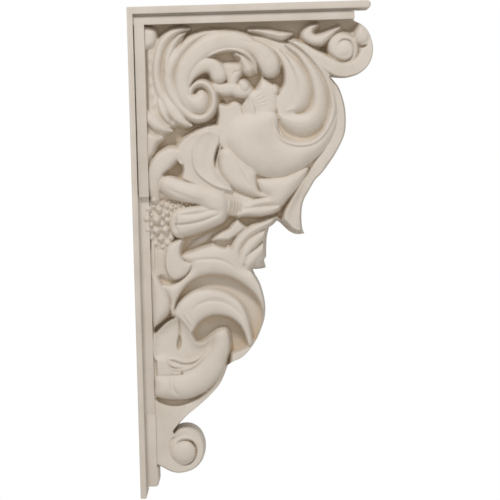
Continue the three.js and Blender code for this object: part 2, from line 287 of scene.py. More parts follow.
# The carving of one cheek, in the order it is worked. A stroke has the knots of its middle line: out, down,
# half width, and height or, for a cut, depth. A swell has the heights of its edge and top, the width of its
# rise and its outline. A plate has its height, bevel and outline, and a hollow or pit its level and outline.
hollowWork = {
    "underTop": ("sink", 2, [(21, 22), (282, 22), (286, 30), (276, 36), (262, 38), (250, 60), (240, 62),
        (226, 54), (214, 44), (204, 46), (190, 44), (165, 36), (120, 33), (90, 36), (76, 40), (66, 34),
        (40, 36), (21, 30)]),
    "besideFronds": ("sink", 3, [(30, 183), (35, 173), (45, 162), (55, 153), (75, 149), (92, 145), (104, 138),
        (109, 122), (116, 120), (117, 135), (112, 147), (102, 156), (88, 162), (74, 170), (60, 174),
        (48, 176), (36, 182)]),
    "underPod": ("sink", 3, [(55, 285), (72, 280), (95, 272), (112, 262), (122, 250), (126, 262), (128, 272),
        (120, 282), (104, 290), (88, 300), (60, 312), (54, 300), (46, 294)]),
    "underBerries": ("sink", 14, [(17, 238), (34, 238), (56, 243), (78, 247), (66, 256), (50, 258), (46, 266),
        (46, 280), (52, 290), (50, 300), (40, 303), (30, 300), (17, 296)]),
    "behindTail": ("sink", 3, [(186, 252), (200, 232), (214, 214), (222, 212), (206, 238), (192, 258),
        (187, 274), (180, 274), (174, 270)]),
    "underTongue": ("sink", 4, [(128, 263), (142, 266), (172, 266), (160, 273), (141, 279), (131, 272)]),
    "slotHollow": ("sink", 2, [(20, 400), (30, 391), (47, 383), (50, 389), (38, 395), (25, 407)]),
    "sheathHollow": ("sink", 9, [(96, 66), (104, 61), (116, 58), (130, 60), (144, 64), (142, 74), (128, 76),
        (112, 76), (104, 70)]),
    "lobeHollow": ("sink", 6, [(74, 104), (78, 94), (86, 84), (98, 82), (102, 88), (94, 94), (84, 98),
        (78, 106)]),
    "knobGap": ("sink", 12, [(100, 94), (112, 99), (122, 92), (124, 100), (114, 106), (104, 102)]),
    "hookHollow": ("sink", 6, [(36, 212), (42, 203), (52, 197), (66, 196), (66, 214), (58, 218), (46, 213)]),
    "pocketRight": ("sink", 4, [(168, 90), (176, 92), (184, 92), (190, 86), (194, 82), (196, 96), (192, 107),
        (187, 114), (184.5, 118), (182, 106), (176, 99), (169, 95)]),
    "pocketLeft": ("sink", 6, [(136, 89), (147, 88), (158, 88), (163, 82), (166, 92), (163, 101), (158, 106),
        (150, 103), (147, 97), (139, 95)]),
    "underKnobs": ("sink", 10, [(105, 110), (116, 113), (124, 112), (130, 111), (136, 115), (146, 115),
        (143, 121), (138, 127), (130, 121), (122, 126), (111, 125)]),
    "leafGap": ("sink", 12, [(99, 289), (130, 290), (118, 300), (114, 305), (100, 300)]),
    "cupShadow": ("sink", 13, [(31.5, 336), (36, 335.4), (41, 340), (50, 341), (58, 338), (64, 332),
        (69, 326), (70.4, 323), (68.4, 329.5), (63, 336), (55.5, 342), (46.5, 345.2), (36.5, 345),
        (30, 341)]),
    "eyeSeat": ("sink", 15, [(80, 110), (86, 104), (98, 103), (100, 115), (100, 128), (92, 136), (80, 136),
        (72, 128), (76, 116)]),
    "coilSeat": ("sink", 16, [(250, 42), (262, 38), (276, 38), (284, 44), (285, 60), (280, 74), (266, 79),
        (254, 74), (247, 60)]),
    "strandGap": ("sink", 15, [(20.8, 48), (22.4, 50), (22.4, 133), (20.8, 133)]),
}


frondWork = {
    "cornerBlock": ("swell", 19, 26, 7, [(17, 28), (30, 28), (35, 33), (35, 43), (31, 49), (24, 52),
        (17, 53)]),
    "strandTop": ("round", [(29.5, 50, 1, 19), (26.5, 56, 2.8, 21), (24.5, 62, 1.2, 18)]),
    "strandOne": ("round", [(28, 58, 1, 19), (26.4, 66, 3, 21.5), (24.4, 75, 1.2, 18)]),
    "strandTwo": ("round", [(28.2, 71, 1, 19), (26.8, 81, 3.2, 21.5), (24.6, 91, 1.2, 18)]),
    "strandThree": ("round", [(28.8, 87, 1, 19), (27.2, 96, 3.4, 21.5), (24.8, 105, 1.4, 18)]),
    "strandFour": ("round", [(31, 100, 1.4, 19), (28.6, 110, 4, 21.5), (25.2, 121, 1.8, 18)]),
    "strandFive": ("round", [(33.5, 113, 1.2, 19), (31, 122, 3.6, 21.5), (27.5, 131, 2.5, 18)]),
    "outerFrond": ("fallLeft", [(76.5, 29.3, .6, 22), (66, 30.8, 3, 24), (56, 35, 5.4, 25.5),
        (47, 42.5, 6.6, 26), (41.5, 52, 6.6, 26), (38, 64, 6.4, 25.5), (35.8, 78, 6.4, 25),
        (36.5, 92, 6.6, 24.5), (40.5, 106, 7.2, 24), (47, 118, 7.2, 23), (56, 128, 5, 22)]),
    "splitFrond": ("fallLeft", [(71.5, 34.5, .6, 24), (64.5, 39.5, 3, 26.5), (58, 47.5, 4.6, 27.5),
        (53, 57, 5.4, 28), (49.5, 68, 5.2, 28), (47.5, 80, 4.4, 27.5)]),
    "scrollFrond": ("fallLeft", [(122, 32.5, .8, 24), (104, 34.8, 2.8, 25), (92, 38.2, 4.4, 26.5),
        (80, 44.5, 6.4, 27.5), (69, 54, 7.4, 28), (59.5, 65, 8, 28), (53, 78, 8.2, 28), (51, 92, 8.2, 27.5),
        (54, 106, 8.2, 27), (60.5, 119, 7.6, 27), (69.5, 130.5, 6.6, 28), (80, 138, 5.6, 29),
        (91, 138.6, 4.9, 30), (99.8, 132, 4.7, 31), (103.8, 121.5, 4.7, 31), (103, 110.5, 4.8, 31),
        (98, 101.8, 5, 31), (90.6, 97.6, 4.9, 30.5), (83.4, 99, 4.2, 29.5), (78.6, 103.6, 3.2, 28.5),
        (77, 109, 2, 28)]),
    "mainSheath": ("broad", [(87, 130.5, 3.4, 27), (77.5, 126.4, 7, 28.4), (70, 114.5, 9, 29.4),
        (66.8, 99, 9, 29.6), (68.5, 85, 9.6, 30), (75, 72, 10.6, 30.5), (85.5, 60.5, 11.4, 30.5),
        (99, 51, 12, 30.5), (114, 46, 12.2, 30.5), (130, 45.5, 11.7, 30), (144, 49, 10.7, 29.5),
        (156, 56, 9, 29)]),
    "scrollEye": ("swell", 21.5, 32.4, 12, [(96.4, 110), (98.8, 117), (98.2, 125.5), (94, 132.2),
        (86.5, 134.6), (76, 131.5), (69, 124), (67, 112), (70, 105), (76.6, 108.8), (82, 110.6), (86, 106.4),
        (91.4, 105.4)]),
    "firstLobe": ("broad", [(75, 97, 2, 27), (80, 86, 5, 28.5), (89, 77.5, 7.5, 29.5), (99, 74.5, 9, 30),
        (107.4, 79, 9.8, 30.8), (111.8, 87, 9.6, 31)]),
    "firstLobeEnd": ("ball", 111.8, 89.8, 9.8, 30.7),
    "lobeLeft": ("broad", [(44, 111, 3, 22), (48.4, 121, 6, 24.5), (54, 130.5, 7.2, 26.5),
        (61, 139.4, 6.2, 27), (68.4, 145.6, 3.8, 26), (76, 149, .9, 22)]),
    "lobeThin": ("soft", [(36.4, 113, 4, 21), (38.6, 123, 5, 24), (42, 132.5, 5, 26), (46.8, 141, 3.4, 25.5),
        (52.4, 148, .9, 21)]),
    "lobeLow": ("fallLeft", [(21, 131, 3, 23), (26, 138, 8.6, 27), (33.4, 145.4, 9, 27.5),
        (42, 151, 5.8, 26.5), (52, 155, .9, 21)]),
    "sideStalk": ("plate", 21, 3, [(20, 157), (30, 158.5), (41, 161), (35, 168), (31, 176), (27, 184),
        (20, 192)]),
    "crestLeaf": ("fallRight", [(150, 33.5, 1, 24), (163, 35, 2.4, 26), (178, 38.5, 4.4, 27),
        (191, 41.5, 4.6, 27), (204, 39, .8, 23)]),
    "sheathLip": ("round", [(98, 65, .8, 29), (106, 60.5, 1.5, 31), (118, 56.8, 1.8, 31.5),
        (131, 56.4, 2, 31.5), (143, 60.5, 2.6, 31.5), (152, 67.5, 3.4, 31), (157, 76, 3.6, 29),
        (158, 84, 2.6, 26)]),
    "secondLobe": ("soft", [(134, 62, 2, 28), (141, 67.5, 4.6, 29.5), (146, 74.5, 6.2, 30.6),
        (149, 80.5, 7, 31)]),
    "secondLobeEnd": ("ball", 149.2, 81.3, 7.6, 31),
    "thirdLobe": ("broad", [(136, 48, 5, 29), (149, 51.5, 7.5, 30), (160, 57, 9.5, 31),
        (169, 65.5, 11.5, 32.2), (174.4, 75, 12, 33), (175.4, 80, 10.4, 32)]),
    "notch": ("crease", [(75, 35, .8, 2), (67, 46, 1.6, 5), (60.5, 57, 1.4, 2.5), (57, 66, 1, 0)]),
    "thirdLobeEnd": ("ball", 175.6, 78, 12.2, 33),
    "lobeCrease": ("crease", [(134, 44, 1, 0), (150, 47.5, 1.8, 1.4), (162, 53, 2, 1.6), (173, 61, 2, 1.2),
        (182, 72, 1.6, 0)]),
}


knobWork = {
    "petalSheet": ("swell", 20, 26, 6, [(118, 74), (128, 73), (139, 75), (140.5, 85), (137, 91), (134, 98),
        (131, 104), (124, 102), (121, 92), (119.5, 84)]),
    "petalCurl": ("crease", [(128, 90, 1.2, .4), (130.4, 85.4, 2, 1.6), (135, 83.4, 2.2, 2),
        (139, 87, 1.6, 1.2)]),
    "knobBagLeft": ("broad", [(107, 100, 3.5, 24), (113, 104, 7, 26), (121, 105, 7.5, 27),
        (129, 104, 7, 27)]),
    "knobBagRight": ("broad", [(127, 103, 6.5, 26), (134, 107, 7.5, 27), (142, 108.5, 7, 27),
        (148, 108, 5, 25)]),
    "knobSmall": ("swell", 23, 28.5, 5, [(137, 96), (142, 94.6), (147, 97.4), (149.4, 103), (147.4, 108),
        (141, 109), (136.6, 104)]),
    "spike": ("ridge", [(166, 91, .8, 20), (165, 98, 2.4, 24), (162, 107, 4, 25)]),
    "hatchedMass": ("swell", 20, 25.5, 9, [(166, 94), (176, 100), (183, 105), (184, 116), (183, 130),
        (176, 142), (156, 142), (151, 126), (148, 112), (159, 106.5), (163, 100)]),
    "hatchedBump": ("swell", 21, 26.5, 4, [(176, 102.6), (181, 101.4), (184.4, 105), (184.6, 111), (180, 114),
        (176.4, 109)]),
    "hatchOne": ("crease", [(151, 115, 1, 0), (158, 111.5, 1.1, 1.4), (167, 105, 1, 0)]),
    "hatchTwo": ("crease", [(152, 118.5, 1, 0), (161, 115, 1.1, 1.4), (171, 108.5, 1, 0)]),
    "hatchThree": ("crease", [(153, 122, 1, 0), (163, 119, 1.1, 1.4), (174, 113, 1, 0)]),
    "hatchFour": ("crease", [(154, 125.5, 1, 0), (164, 123.5, 1.1, 1.3), (175, 119, 1, 0)]),
    "hatchFive": ("crease", [(155, 129, 1, 0), (165, 127.8, 1.1, 1.2), (175, 125, 1, 0)]),
    "facetLeaf": ("highLeft", [(148, 112.5, .8, 25), (148, 121, 4.6, 28), (147.5, 129, 7.8, 29),
        (147.5, 137, 9.4, 29)]),
}


hornWork = {
    "paleSheet": ("swell", 22, 24.5, 3, [(111, 125), (121, 126), (130, 121.5), (138, 127), (140, 140),
        (134, 150), (128, 168), (123, 185), (116, 180), (110, 172), (107, 160), (109, 148), (111, 138)]),
    "hornBody": ("swell", 23, 35, 25, [(119.5, 168), (121.5, 157), (127, 146.5), (137, 138.5), (150, 135),
        (168, 134.5), (181, 138), (184, 152), (190, 164), (202, 171), (216, 172), (231, 168), (242, 158),
        (249, 146), (256, 133), (256.5, 146), (252.5, 162), (246, 175), (237, 186), (227, 195), (213, 205),
        (196, 212.5), (176, 216), (157, 212), (141, 200), (130, 190), (123, 180)]),
    "hornLip": ("soft", [(180, 140, 1.2, 27), (178.5, 151, 3, 31), (182.3, 163, 3.6, 33),
        (190.4, 171, 3.8, 33.5), (201.6, 175.5, 3.8, 33.5), (214.5, 176.8, 3.8, 33.5), (227.4, 174, 3.8, 33),
        (238.6, 165.2, 4, 32), (246.5, 153, 4.6, 31), (251.8, 138, 4.9, 30), (252.6, 124, 4.4, 29),
        (249.8, 108, 4, 28), (244, 92, 3.9, 27.5), (236, 78.5, 3.6, 27), (225, 65.5, 3, 26.5),
        (212, 54, 2, 25.5), (201, 47.5, 1, 24.5)]),
    "shellRoll": ("fallRight", [(187, 142, 3.5, 26), (193, 147, 8.5, 29), (203, 151, 12.5, 31),
        (215, 152.5, 13.8, 31.5), (227, 147.5, 13.2, 31.5), (235, 137, 11.5, 31), (238.5, 123, 10, 30),
        (237.5, 108, 9.2, 29.5), (233, 93, 8.2, 29), (223.5, 76, 6.2, 28), (212, 62, 4, 27),
        (196, 52, 1.6, 25.5)]),
    "shellFloor": ("swell", 22.5, 25, 7, [(180, 56), (190, 60), (200, 74), (207, 90), (209, 106), (207, 118),
        (204, 140), (186, 142), (183.5, 122), (187.5, 110.5), (193.5, 101), (194.5, 88), (191, 74),
        (185, 64)]),
    "shellBand": ("fallLeft", [(188, 57, 1, 26), (198, 66, 3.5, 27), (208, 79, 6.8, 28), (215.5, 95, 9, 28.5),
        (217.5, 110, 10.6, 28.5), (214, 124, 11.4, 28), (206, 132, 7.5, 27), (196, 134.5, 3, 26)]),
}


sweepWork = {
    "sweepOne": ("fallRight", [(205, 47, 1, 25), (219, 55, 2.4, 26), (232.5, 67.5, 2.8, 27),
        (243, 83.5, 3, 27), (251, 100, 2.8, 26.5), (255.5, 116, 2, 25.5)]),
    "outerFillet": ("flat", [(250, 97, 2.5, 24), (257, 106, 4.3, 24.5), (261, 120, 5, 25),
        (263.3, 140, 5.6, 25), (261.5, 157, 6, 25), (255, 173, 6.2, 25), (244.5, 189, 6.4, 25),
        (234, 202, 6.6, 25), (225.4, 216, 6.4, 25), (217.6, 229.5, 4.2, 24.6), (211.6, 239.6, 1.6, 22.6),
        (208.6, 245, .5, 20)]),
    "tail": ("scoop", [(236, 202, 6, 24.5), (226, 216, 7.5, 25), (215, 233, 8.5, 25.5), (206, 249, 9.5, 25.5),
        (200.5, 262, 11, 25), (199.5, 273, 12.5, 24), (201, 283, 12.5, 21)]),
    "fanLineOne": ("crease", [(203, 50, .8, 0), (217, 61, 1, 1.2), (229, 76, 1, 1.4), (238.5, 93, 1, 1.4),
        (243.5, 112, 1, 0)]),
    "fanLineTwo": ("crease", [(196, 56, .8, 0), (209, 68, 1, 1.2), (220, 83, 1, 1.2), (229, 100, 1, 0)]),
}


noseWork = {
    "scrollStem": ("flat", [(208, 49, 1, 24), (219, 55.5, 2.6, 26), (229, 64, 4.4, 27),
        (239, 71.5, 6.4, 27.5), (249, 78.5, 8, 28), (260, 84.5, 8.4, 28), (272, 86.5, 8.6, 28),
        (284, 82.5, 9, 28), (293.5, 73.5, 9.4, 28), (298, 61, 9, 28), (297, 48, 8, 27.5),
        (292, 37, 6.5, 27)]),
    "stemCreaseOne": ("crease", [(222, 62, .8, 0), (231, 71, 1.2, 1.2), (241, 79, 1.2, 1.2),
        (252, 86, .8, 0)]),
    "stemCreaseTwo": ("crease", [(228, 64, .8, 0), (236, 72, 1.2, 1), (245, 78.5, 1.2, 1), (255, 84, .8, 0)]),
    "coil": ("swell", 23, 29, 8, [(249, 58), (251, 48), (258, 41.5), (267, 39.8), (277, 43), (283, 50),
        (285.5, 59), (283.5, 68), (277.5, 75), (268, 77), (259, 73), (252, 66)]),
    "eye": ("swell", 26.5, 31, 9, [(259.4, 60), (261.4, 53), (267.4, 50), (274, 51.6), (277.8, 57),
        (278, 62.6), (274.6, 67.4), (268.6, 69.8), (262, 68.4), (258.4, 64)]),
    "coilUnder": ("crease", [(251.6, 63, 1, .6), (256, 69.6, 2, 3.6), (263, 73.6, 2.6, 5.6),
        (270.6, 74, 2.6, 5.6), (277, 70.6, 2.2, 4), (281.4, 63.4, 1, .8)]),
    "coilLine": ("crease", [(261.5, 57.5, .7, 0), (262.4, 51.5, 1.3, 2.4), (267.5, 48, 1.8, 4.2),
        (274.5, 49.4, 2, 4.8), (279, 55.5, 1.8, 4.8), (279.8, 62, 1.6, 4.4), (277.2, 69, 1.4, 3.6),
        (272, 73.4, 1.2, 2.6), (265, 74.4, .9, 0)]),
    "noseBud": ("swell", 25, 31, 8, [(283, 39.5), (286.4, 34), (289, 30.6), (295, 35), (300, 42), (299.4, 50),
        (294, 54), (287, 53.6), (282, 48)]),
    "leafHorn": ("swell", 22, 28, 5, [(235.2, 29), (226.5, 30), (219, 34.6), (216.3, 40.3), (217.7, 45.5),
        (223.7, 50.3), (231, 53), (238.4, 53.4), (243.4, 51.4), (250.5, 45.6), (257.5, 38.4), (263, 32.8),
        (250.3, 36.8), (241.8, 39.8), (233.5, 41), (230.2, 38.6), (230.8, 33.8)]),
}


middleWork = {
    "sideStalk": ("swell", 20, 27, 6, [(17, 157), (27, 157.5), (36, 161.5), (41, 163.4), (34, 169.5),
        (30, 177.5), (27, 184), (17, 191)]),
    "hookLeaf": ("broad", [(62, 193, 2.5, 23), (58, 185.5, 7, 26), (49, 186, 10, 28), (39, 193, 11.5, 28.5),
        (31, 204, 10.5, 28.5), (27.5, 217, 8, 27), (27.5, 229, 7, 26), (29, 238, 5.5, 23)]),
    "bandBeside": ("swell", 25.5, 25, 6, [(59, 176), (64, 169), (73, 162), (86, 155.5), (99, 151.5),
        (110, 156), (108, 200), (118, 224), (112, 235), (98, 231), (84, 224), (70, 217.5), (64, 214),
        (66, 205), (64.5, 194), (61, 184)]),
    "spoonLeaf": ("swell", 29.5, 27, 8, [(90.7, 158), (100.4, 156.4), (107.4, 161), (109.2, 170),
        (106.4, 181), (103, 191), (102.6, 201.4), (107, 209), (116.5, 220), (124, 231), (116.5, 229.4),
        (105, 225.6), (94, 219), (84.3, 211), (78, 200), (76.3, 187), (78.7, 174), (84.3, 163)]),
    "spoonFall": ("crease", [(98, 160, 4, 0), (99, 172, 7, 1.6), (96, 186, 8, 2), (97, 202, 7, 1.6),
        (108, 217, 4, 0)]),
    "nextRim": ("round", [(112, 173, 1, 25), (109, 184, 1.8, 27), (106.2, 196, 1.8, 28), (106, 204, 1.6, 28),
        (110.5, 211.5, 1.6, 28), (118, 221, 1.2, 26)]),
    "broadLeaf": ("swell", 23.5, 30, 10, [(112.4, 180.5), (123, 180.5), (129.3, 185.4), (139, 196.6),
        (148.6, 204), (154.6, 207.4), (154.6, 214.3), (155.4, 225.6), (158.5, 233.6), (169.5, 239.4),
        (161.5, 240.4), (148.6, 237), (135.8, 232), (124.5, 226), (116, 216), (111.5, 206.3), (109.8, 193)]),
    "foldRidge": ("round", [(133, 192.5, 1, 27), (142, 201, 1.6, 29.5), (149, 205.5, 1.4, 29),
        (154, 208, .8, 27)]),
    "leafFoldOne": ("crease", [(127, 190, 1, 0), (134, 203, 2.2, 2), (141, 217, 2.2, 2), (149, 231, 1, 0)]),
    "leafFoldTwo": ("crease", [(137, 199.5, .8, 0), (144.5, 209, 1.6, 1.8), (149.5, 221, 1.4, 1.4),
        (153, 231, .8, 0)]),
    "throatLeaf": ("swell", 22, 29.5, 13, [(157, 218), (172, 217), (190, 215), (206, 209), (219, 205),
        (214, 218), (204.5, 230.5), (193, 242.5), (183, 252), (170, 251), (157, 252), (143, 256),
        (137.5, 251), (148, 244), (160, 241.5), (170, 240), (161, 234), (157, 226)]),
    "tongueLeaf": ("swell", 24, 28, 5, [(183, 252.5), (173.5, 259.5), (158, 262.6), (142, 261.8),
        (130, 262.4), (135, 256.6), (142, 253.6), (157, 252.6), (170, 251.6)]),
    "neckPad": ("swell", 19, 23.4, 5, [(108, 226), (118, 229.5), (128, 233), (140, 238), (151, 243.5),
        (146, 256), (130, 262), (116, 258), (108, 245)]),
    "neckSheath": ("broad", [(110, 245, 5, 22), (119, 246.5, 8, 24), (129, 249, 9, 25), (139, 251, 6, 24.5)]),
    "neckLineOne": ("cut", [(119, 237, .8, 0), (123, 247, 1.9, 4.4), (121.5, 259, 2, 4.4)]),
    "neckLineTwo": ("cut", [(123.5, 237.5, .8, 0), (127.4, 248, 1.8, 4.4), (125.5, 260, 1.8, 4.2)]),
    "neckLineThree": ("cut", [(129, 239, .8, 0), (131.6, 249, 1.7, 4), (128.8, 260, 1.7, 3.8)]),
    "neckLineFour": ("cut", [(134.5, 242, .8, 0), (135, 250, 1.5, 3), (132, 259, 1.5, 2.6)]),
    "slit": ("cut", [(154.4, 215, .7, 1), (155.2, 223, 1, 4), (157.2, 230, 1, 4), (161, 236, .8, 1)]),
    "underPetal": ("soft", [(67, 302, 1.5, 5), (77, 296, 4, 6.5), (88, 290, 4.6, 7), (99, 282, 2, 5.5)]),
    "crossLeaf": ("soft", [(178, 267, .8, 25), (166, 273, 4, 27), (152, 279, 5.8, 28),
        (140, 286.5, 6.2, 28.5), (130.5, 297, 6, 28), (126.8, 309, 5.8, 27), (130, 321, 5.8, 26),
        (138, 331, 3.6, 23)]),
    "peakLeaf": ("plate", 23, 3, [(99, 291.8), (105, 286.5), (112, 282.6), (119.7, 279.4), (124, 274.5),
        (130, 268.8), (135, 273.4), (139.6, 277.6), (134, 281.6), (126, 287), (118, 292)]),
    "noseUpper": ("soft", [(167, 282, 2, 25), (157, 289.5, 6, 27), (147, 297.5, 8, 28), (139, 308, 6.8, 28),
        (134.8, 320, 5.2, 26)]),
    "noseLower": ("soft", [(167, 296, 2, 23), (158, 305, 6.5, 25), (149, 313.5, 8, 27), (142, 322.5, 5.5, 27),
        (140, 330, 2.2, 23)]),
    "noseVein": ("cut", [(166, 288.5, 1, 3), (155, 300, 1.4, 4), (147, 306, 1.4, 4), (138, 314, 1, 2)]),
    "noseUnder": ("pit", 6, [(146, 333), (149.5, 326.5), (155, 320.5), (161, 315.5), (168, 311), (172, 322),
        (168, 336)]),
    "noseFall": ("rising", [(168, 315, 5, 21), (161, 323, 7.5, 23), (153, 332, 6.5, 23)]),
}


leftWork = {
    "berryStalk": ("flat", [(15.5, 262, 4.5, 18), (15.5, 285, 4.5, 15), (15.5, 300, 4.5, 14)]),
    "leftStripOne": ("soft", [(23.8, 286, 3, 20), (23.8, 305, 3.2, 22), (23.6, 320, 3, 22),
        (23.6, 331, 2.2, 20)]),
    "leftStripTwo": ("scoop", [(33.6, 300, 6.2, 20), (33.2, 312, 6.2, 21), (34, 322, 5.6, 20.5),
        (37, 331, 4.6, 18.5), (41.5, 338, 3.4, 15), (47, 341.5, 2, 12)]),
    "cupLeaf": ("swell", 26, 28.5, 9, [(44.7, 298), (48, 295.4), (59, 291.6), (57.4, 298.8), (56.6, 306.5),
        (58.2, 313), (62, 317.3), (66.4, 319.4), (70.6, 321.5), (68, 327.4), (62.6, 333.6), (55.7, 337.6),
        (49.1, 338.5), (43.8, 334.6), (40.6, 327.4), (39.6, 318.6), (40.3, 309.8), (41.8, 301)]),
    "cupRim": ("round", [(42.6, 300, .9, 26), (40.4, 310, 1.3, 28), (40, 319, 1.4, 28.6),
        (41.3, 328, 1.4, 28.6), (44.6, 334.4, 1.3, 28), (49.2, 338, .9, 25)]),
    "bandLeaf": ("swell", 21, 28, 10, [(21.8, 334), (24, 333), (27.6, 335.4), (33, 343.9), (37.8, 352.7),
        (41.8, 361.5), (43.2, 369.2), (42.2, 376.9), (40, 382), (33.4, 388.6), (25.4, 396), (22, 398)]),
}


podWork = {
    "podSkirt": ("soft", [(113, 258, 5, 22), (96, 262, 12, 22), (78, 266, 14, 22), (62, 268, 12, 22)]),
    "lowerPetals": ("swell", 21, 29.5, 9, [(56, 252.6), (70, 250.4), (84, 248.5), (98, 250), (113, 248),
        (118, 256), (112, 268), (99, 274.6), (84, 280), (68, 284.6), (56, 286), (50, 280), (48.6, 268),
        (50.6, 257.6)]),
    "upperPetal": ("swell", 22.5, 31.5, 12, [(38.6, 212.6), (47, 211.6), (60, 216.4), (81, 223),
        (100.4, 227.8), (111, 232), (117.4, 240), (118, 252), (112, 260), (101, 259.5), (92, 254.5),
        (82, 246.6), (68, 243.4), (55, 240.3), (43, 235), (35.4, 228), (34.2, 219)]),
    "petalLip": ("round", [(61, 253.6, 1.2, 24), (53.5, 256.6, 2.6, 26.5), (49.4, 263, 3.2, 27.5),
        (48.4, 271, 3.4, 27.5), (50, 279.4, 3.2, 27), (55, 285.4, 2.4, 25), (61, 287.6, 1.2, 22)]),
    "creaseHigh": ("crease", [(56, 259.6, 2.2, .6), (64, 259.6, 4, 2.4), (76, 258.8, 4.6, 2.8),
        (88, 257, 4.2, 2.2), (98, 254.8, 3, 1), (110, 252, 1.8, 0)]),
    "creaseLow": ("crease", [(53.5, 271.4, 2, 3), (70, 270.4, 3, 3.6), (86, 267.4, 3, 3.4),
        (99, 263.2, 2.6, 2.4), (112, 258.4, 1.8, 0)]),
    "petalCup": ("crease", [(55, 258.6, 1.2, 1), (53.6, 265, 1.8, 3), (53.8, 276, 1.8, 3),
        (57, 283, 1.2, 1)]),
    "petalFall": ("crease", [(40, 223, 3, 0), (55, 232, 4, 1.4), (75, 240, 4, 1.2), (92, 245, 3, 0)]),
}


berries = [  # out, down, radius and height
    (27, 240, 6.2, 25), (33, 252.4, 5.8, 24.5), (19, 251, 6.8, 25), (17, 263.5, 6.8, 26),
    (29, 264.5, 7.2, 27), (18, 277, 6, 25), (28.6, 278, 6.6, 26.5), (40, 277.4, 6.6, 26.5),
    (22.6, 287, 4.6, 23), (34, 288.4, 6, 25), (47, 288, 4.2, 23), (42.6, 294.6, 4.6, 23.5),
    (36.4, 299, 4, 22), (42.6, 265.5, 5.2, 25), (36.6, 270.5, 4.4, 25), (42.6, 256.5, 4.6, 24),
    (36.4, 245.6, 4.2, 23), (42.6, 248.6, 3.8, 23), (48.4, 251, 3.4, 23), (50, 246.4, 2.4, 22),
    (54, 249.6, 2.8, 23), (59, 247.8, 2.4, 22.5), (63.6, 249.4, 2.2, 22.5), (28, 294.6, 4.4, 22.5),
    (23.4, 258.6, 3.6, 23), (37.6, 260.4, 4, 24.5), (22.6, 270.6, 4.2, 24), (26.6, 248.6, 3.6, 23),
    (47.6, 259, 2.6, 23),
]
smallGrains = [  # out, down, radius and height
    (56.6, 245.4, 1.9, 22), (61, 244.8, 1.7, 21.5), (67.4, 247, 2, 22), (71.4, 248, 1.8, 22),
    (75, 246.4, 1.7, 21.5), (70, 244.6, 1.4, 21), (46, 243, 2.2, 22), (51, 242.4, 1.7, 21.5),
]
berryWork = {
    "berryBed": ("plate", 18, 3, [(16, 240), (34, 241), (62, 246), (66, 250), (52, 256), (47, 268), (50, 286),
        (46, 299), (36, 303), (26, 300), (20, 290), (16, 282)]),
    **{"berry%d" % k: ("ball", *grain) for k, grain in enumerate(berries + smallGrains, 1)},
}


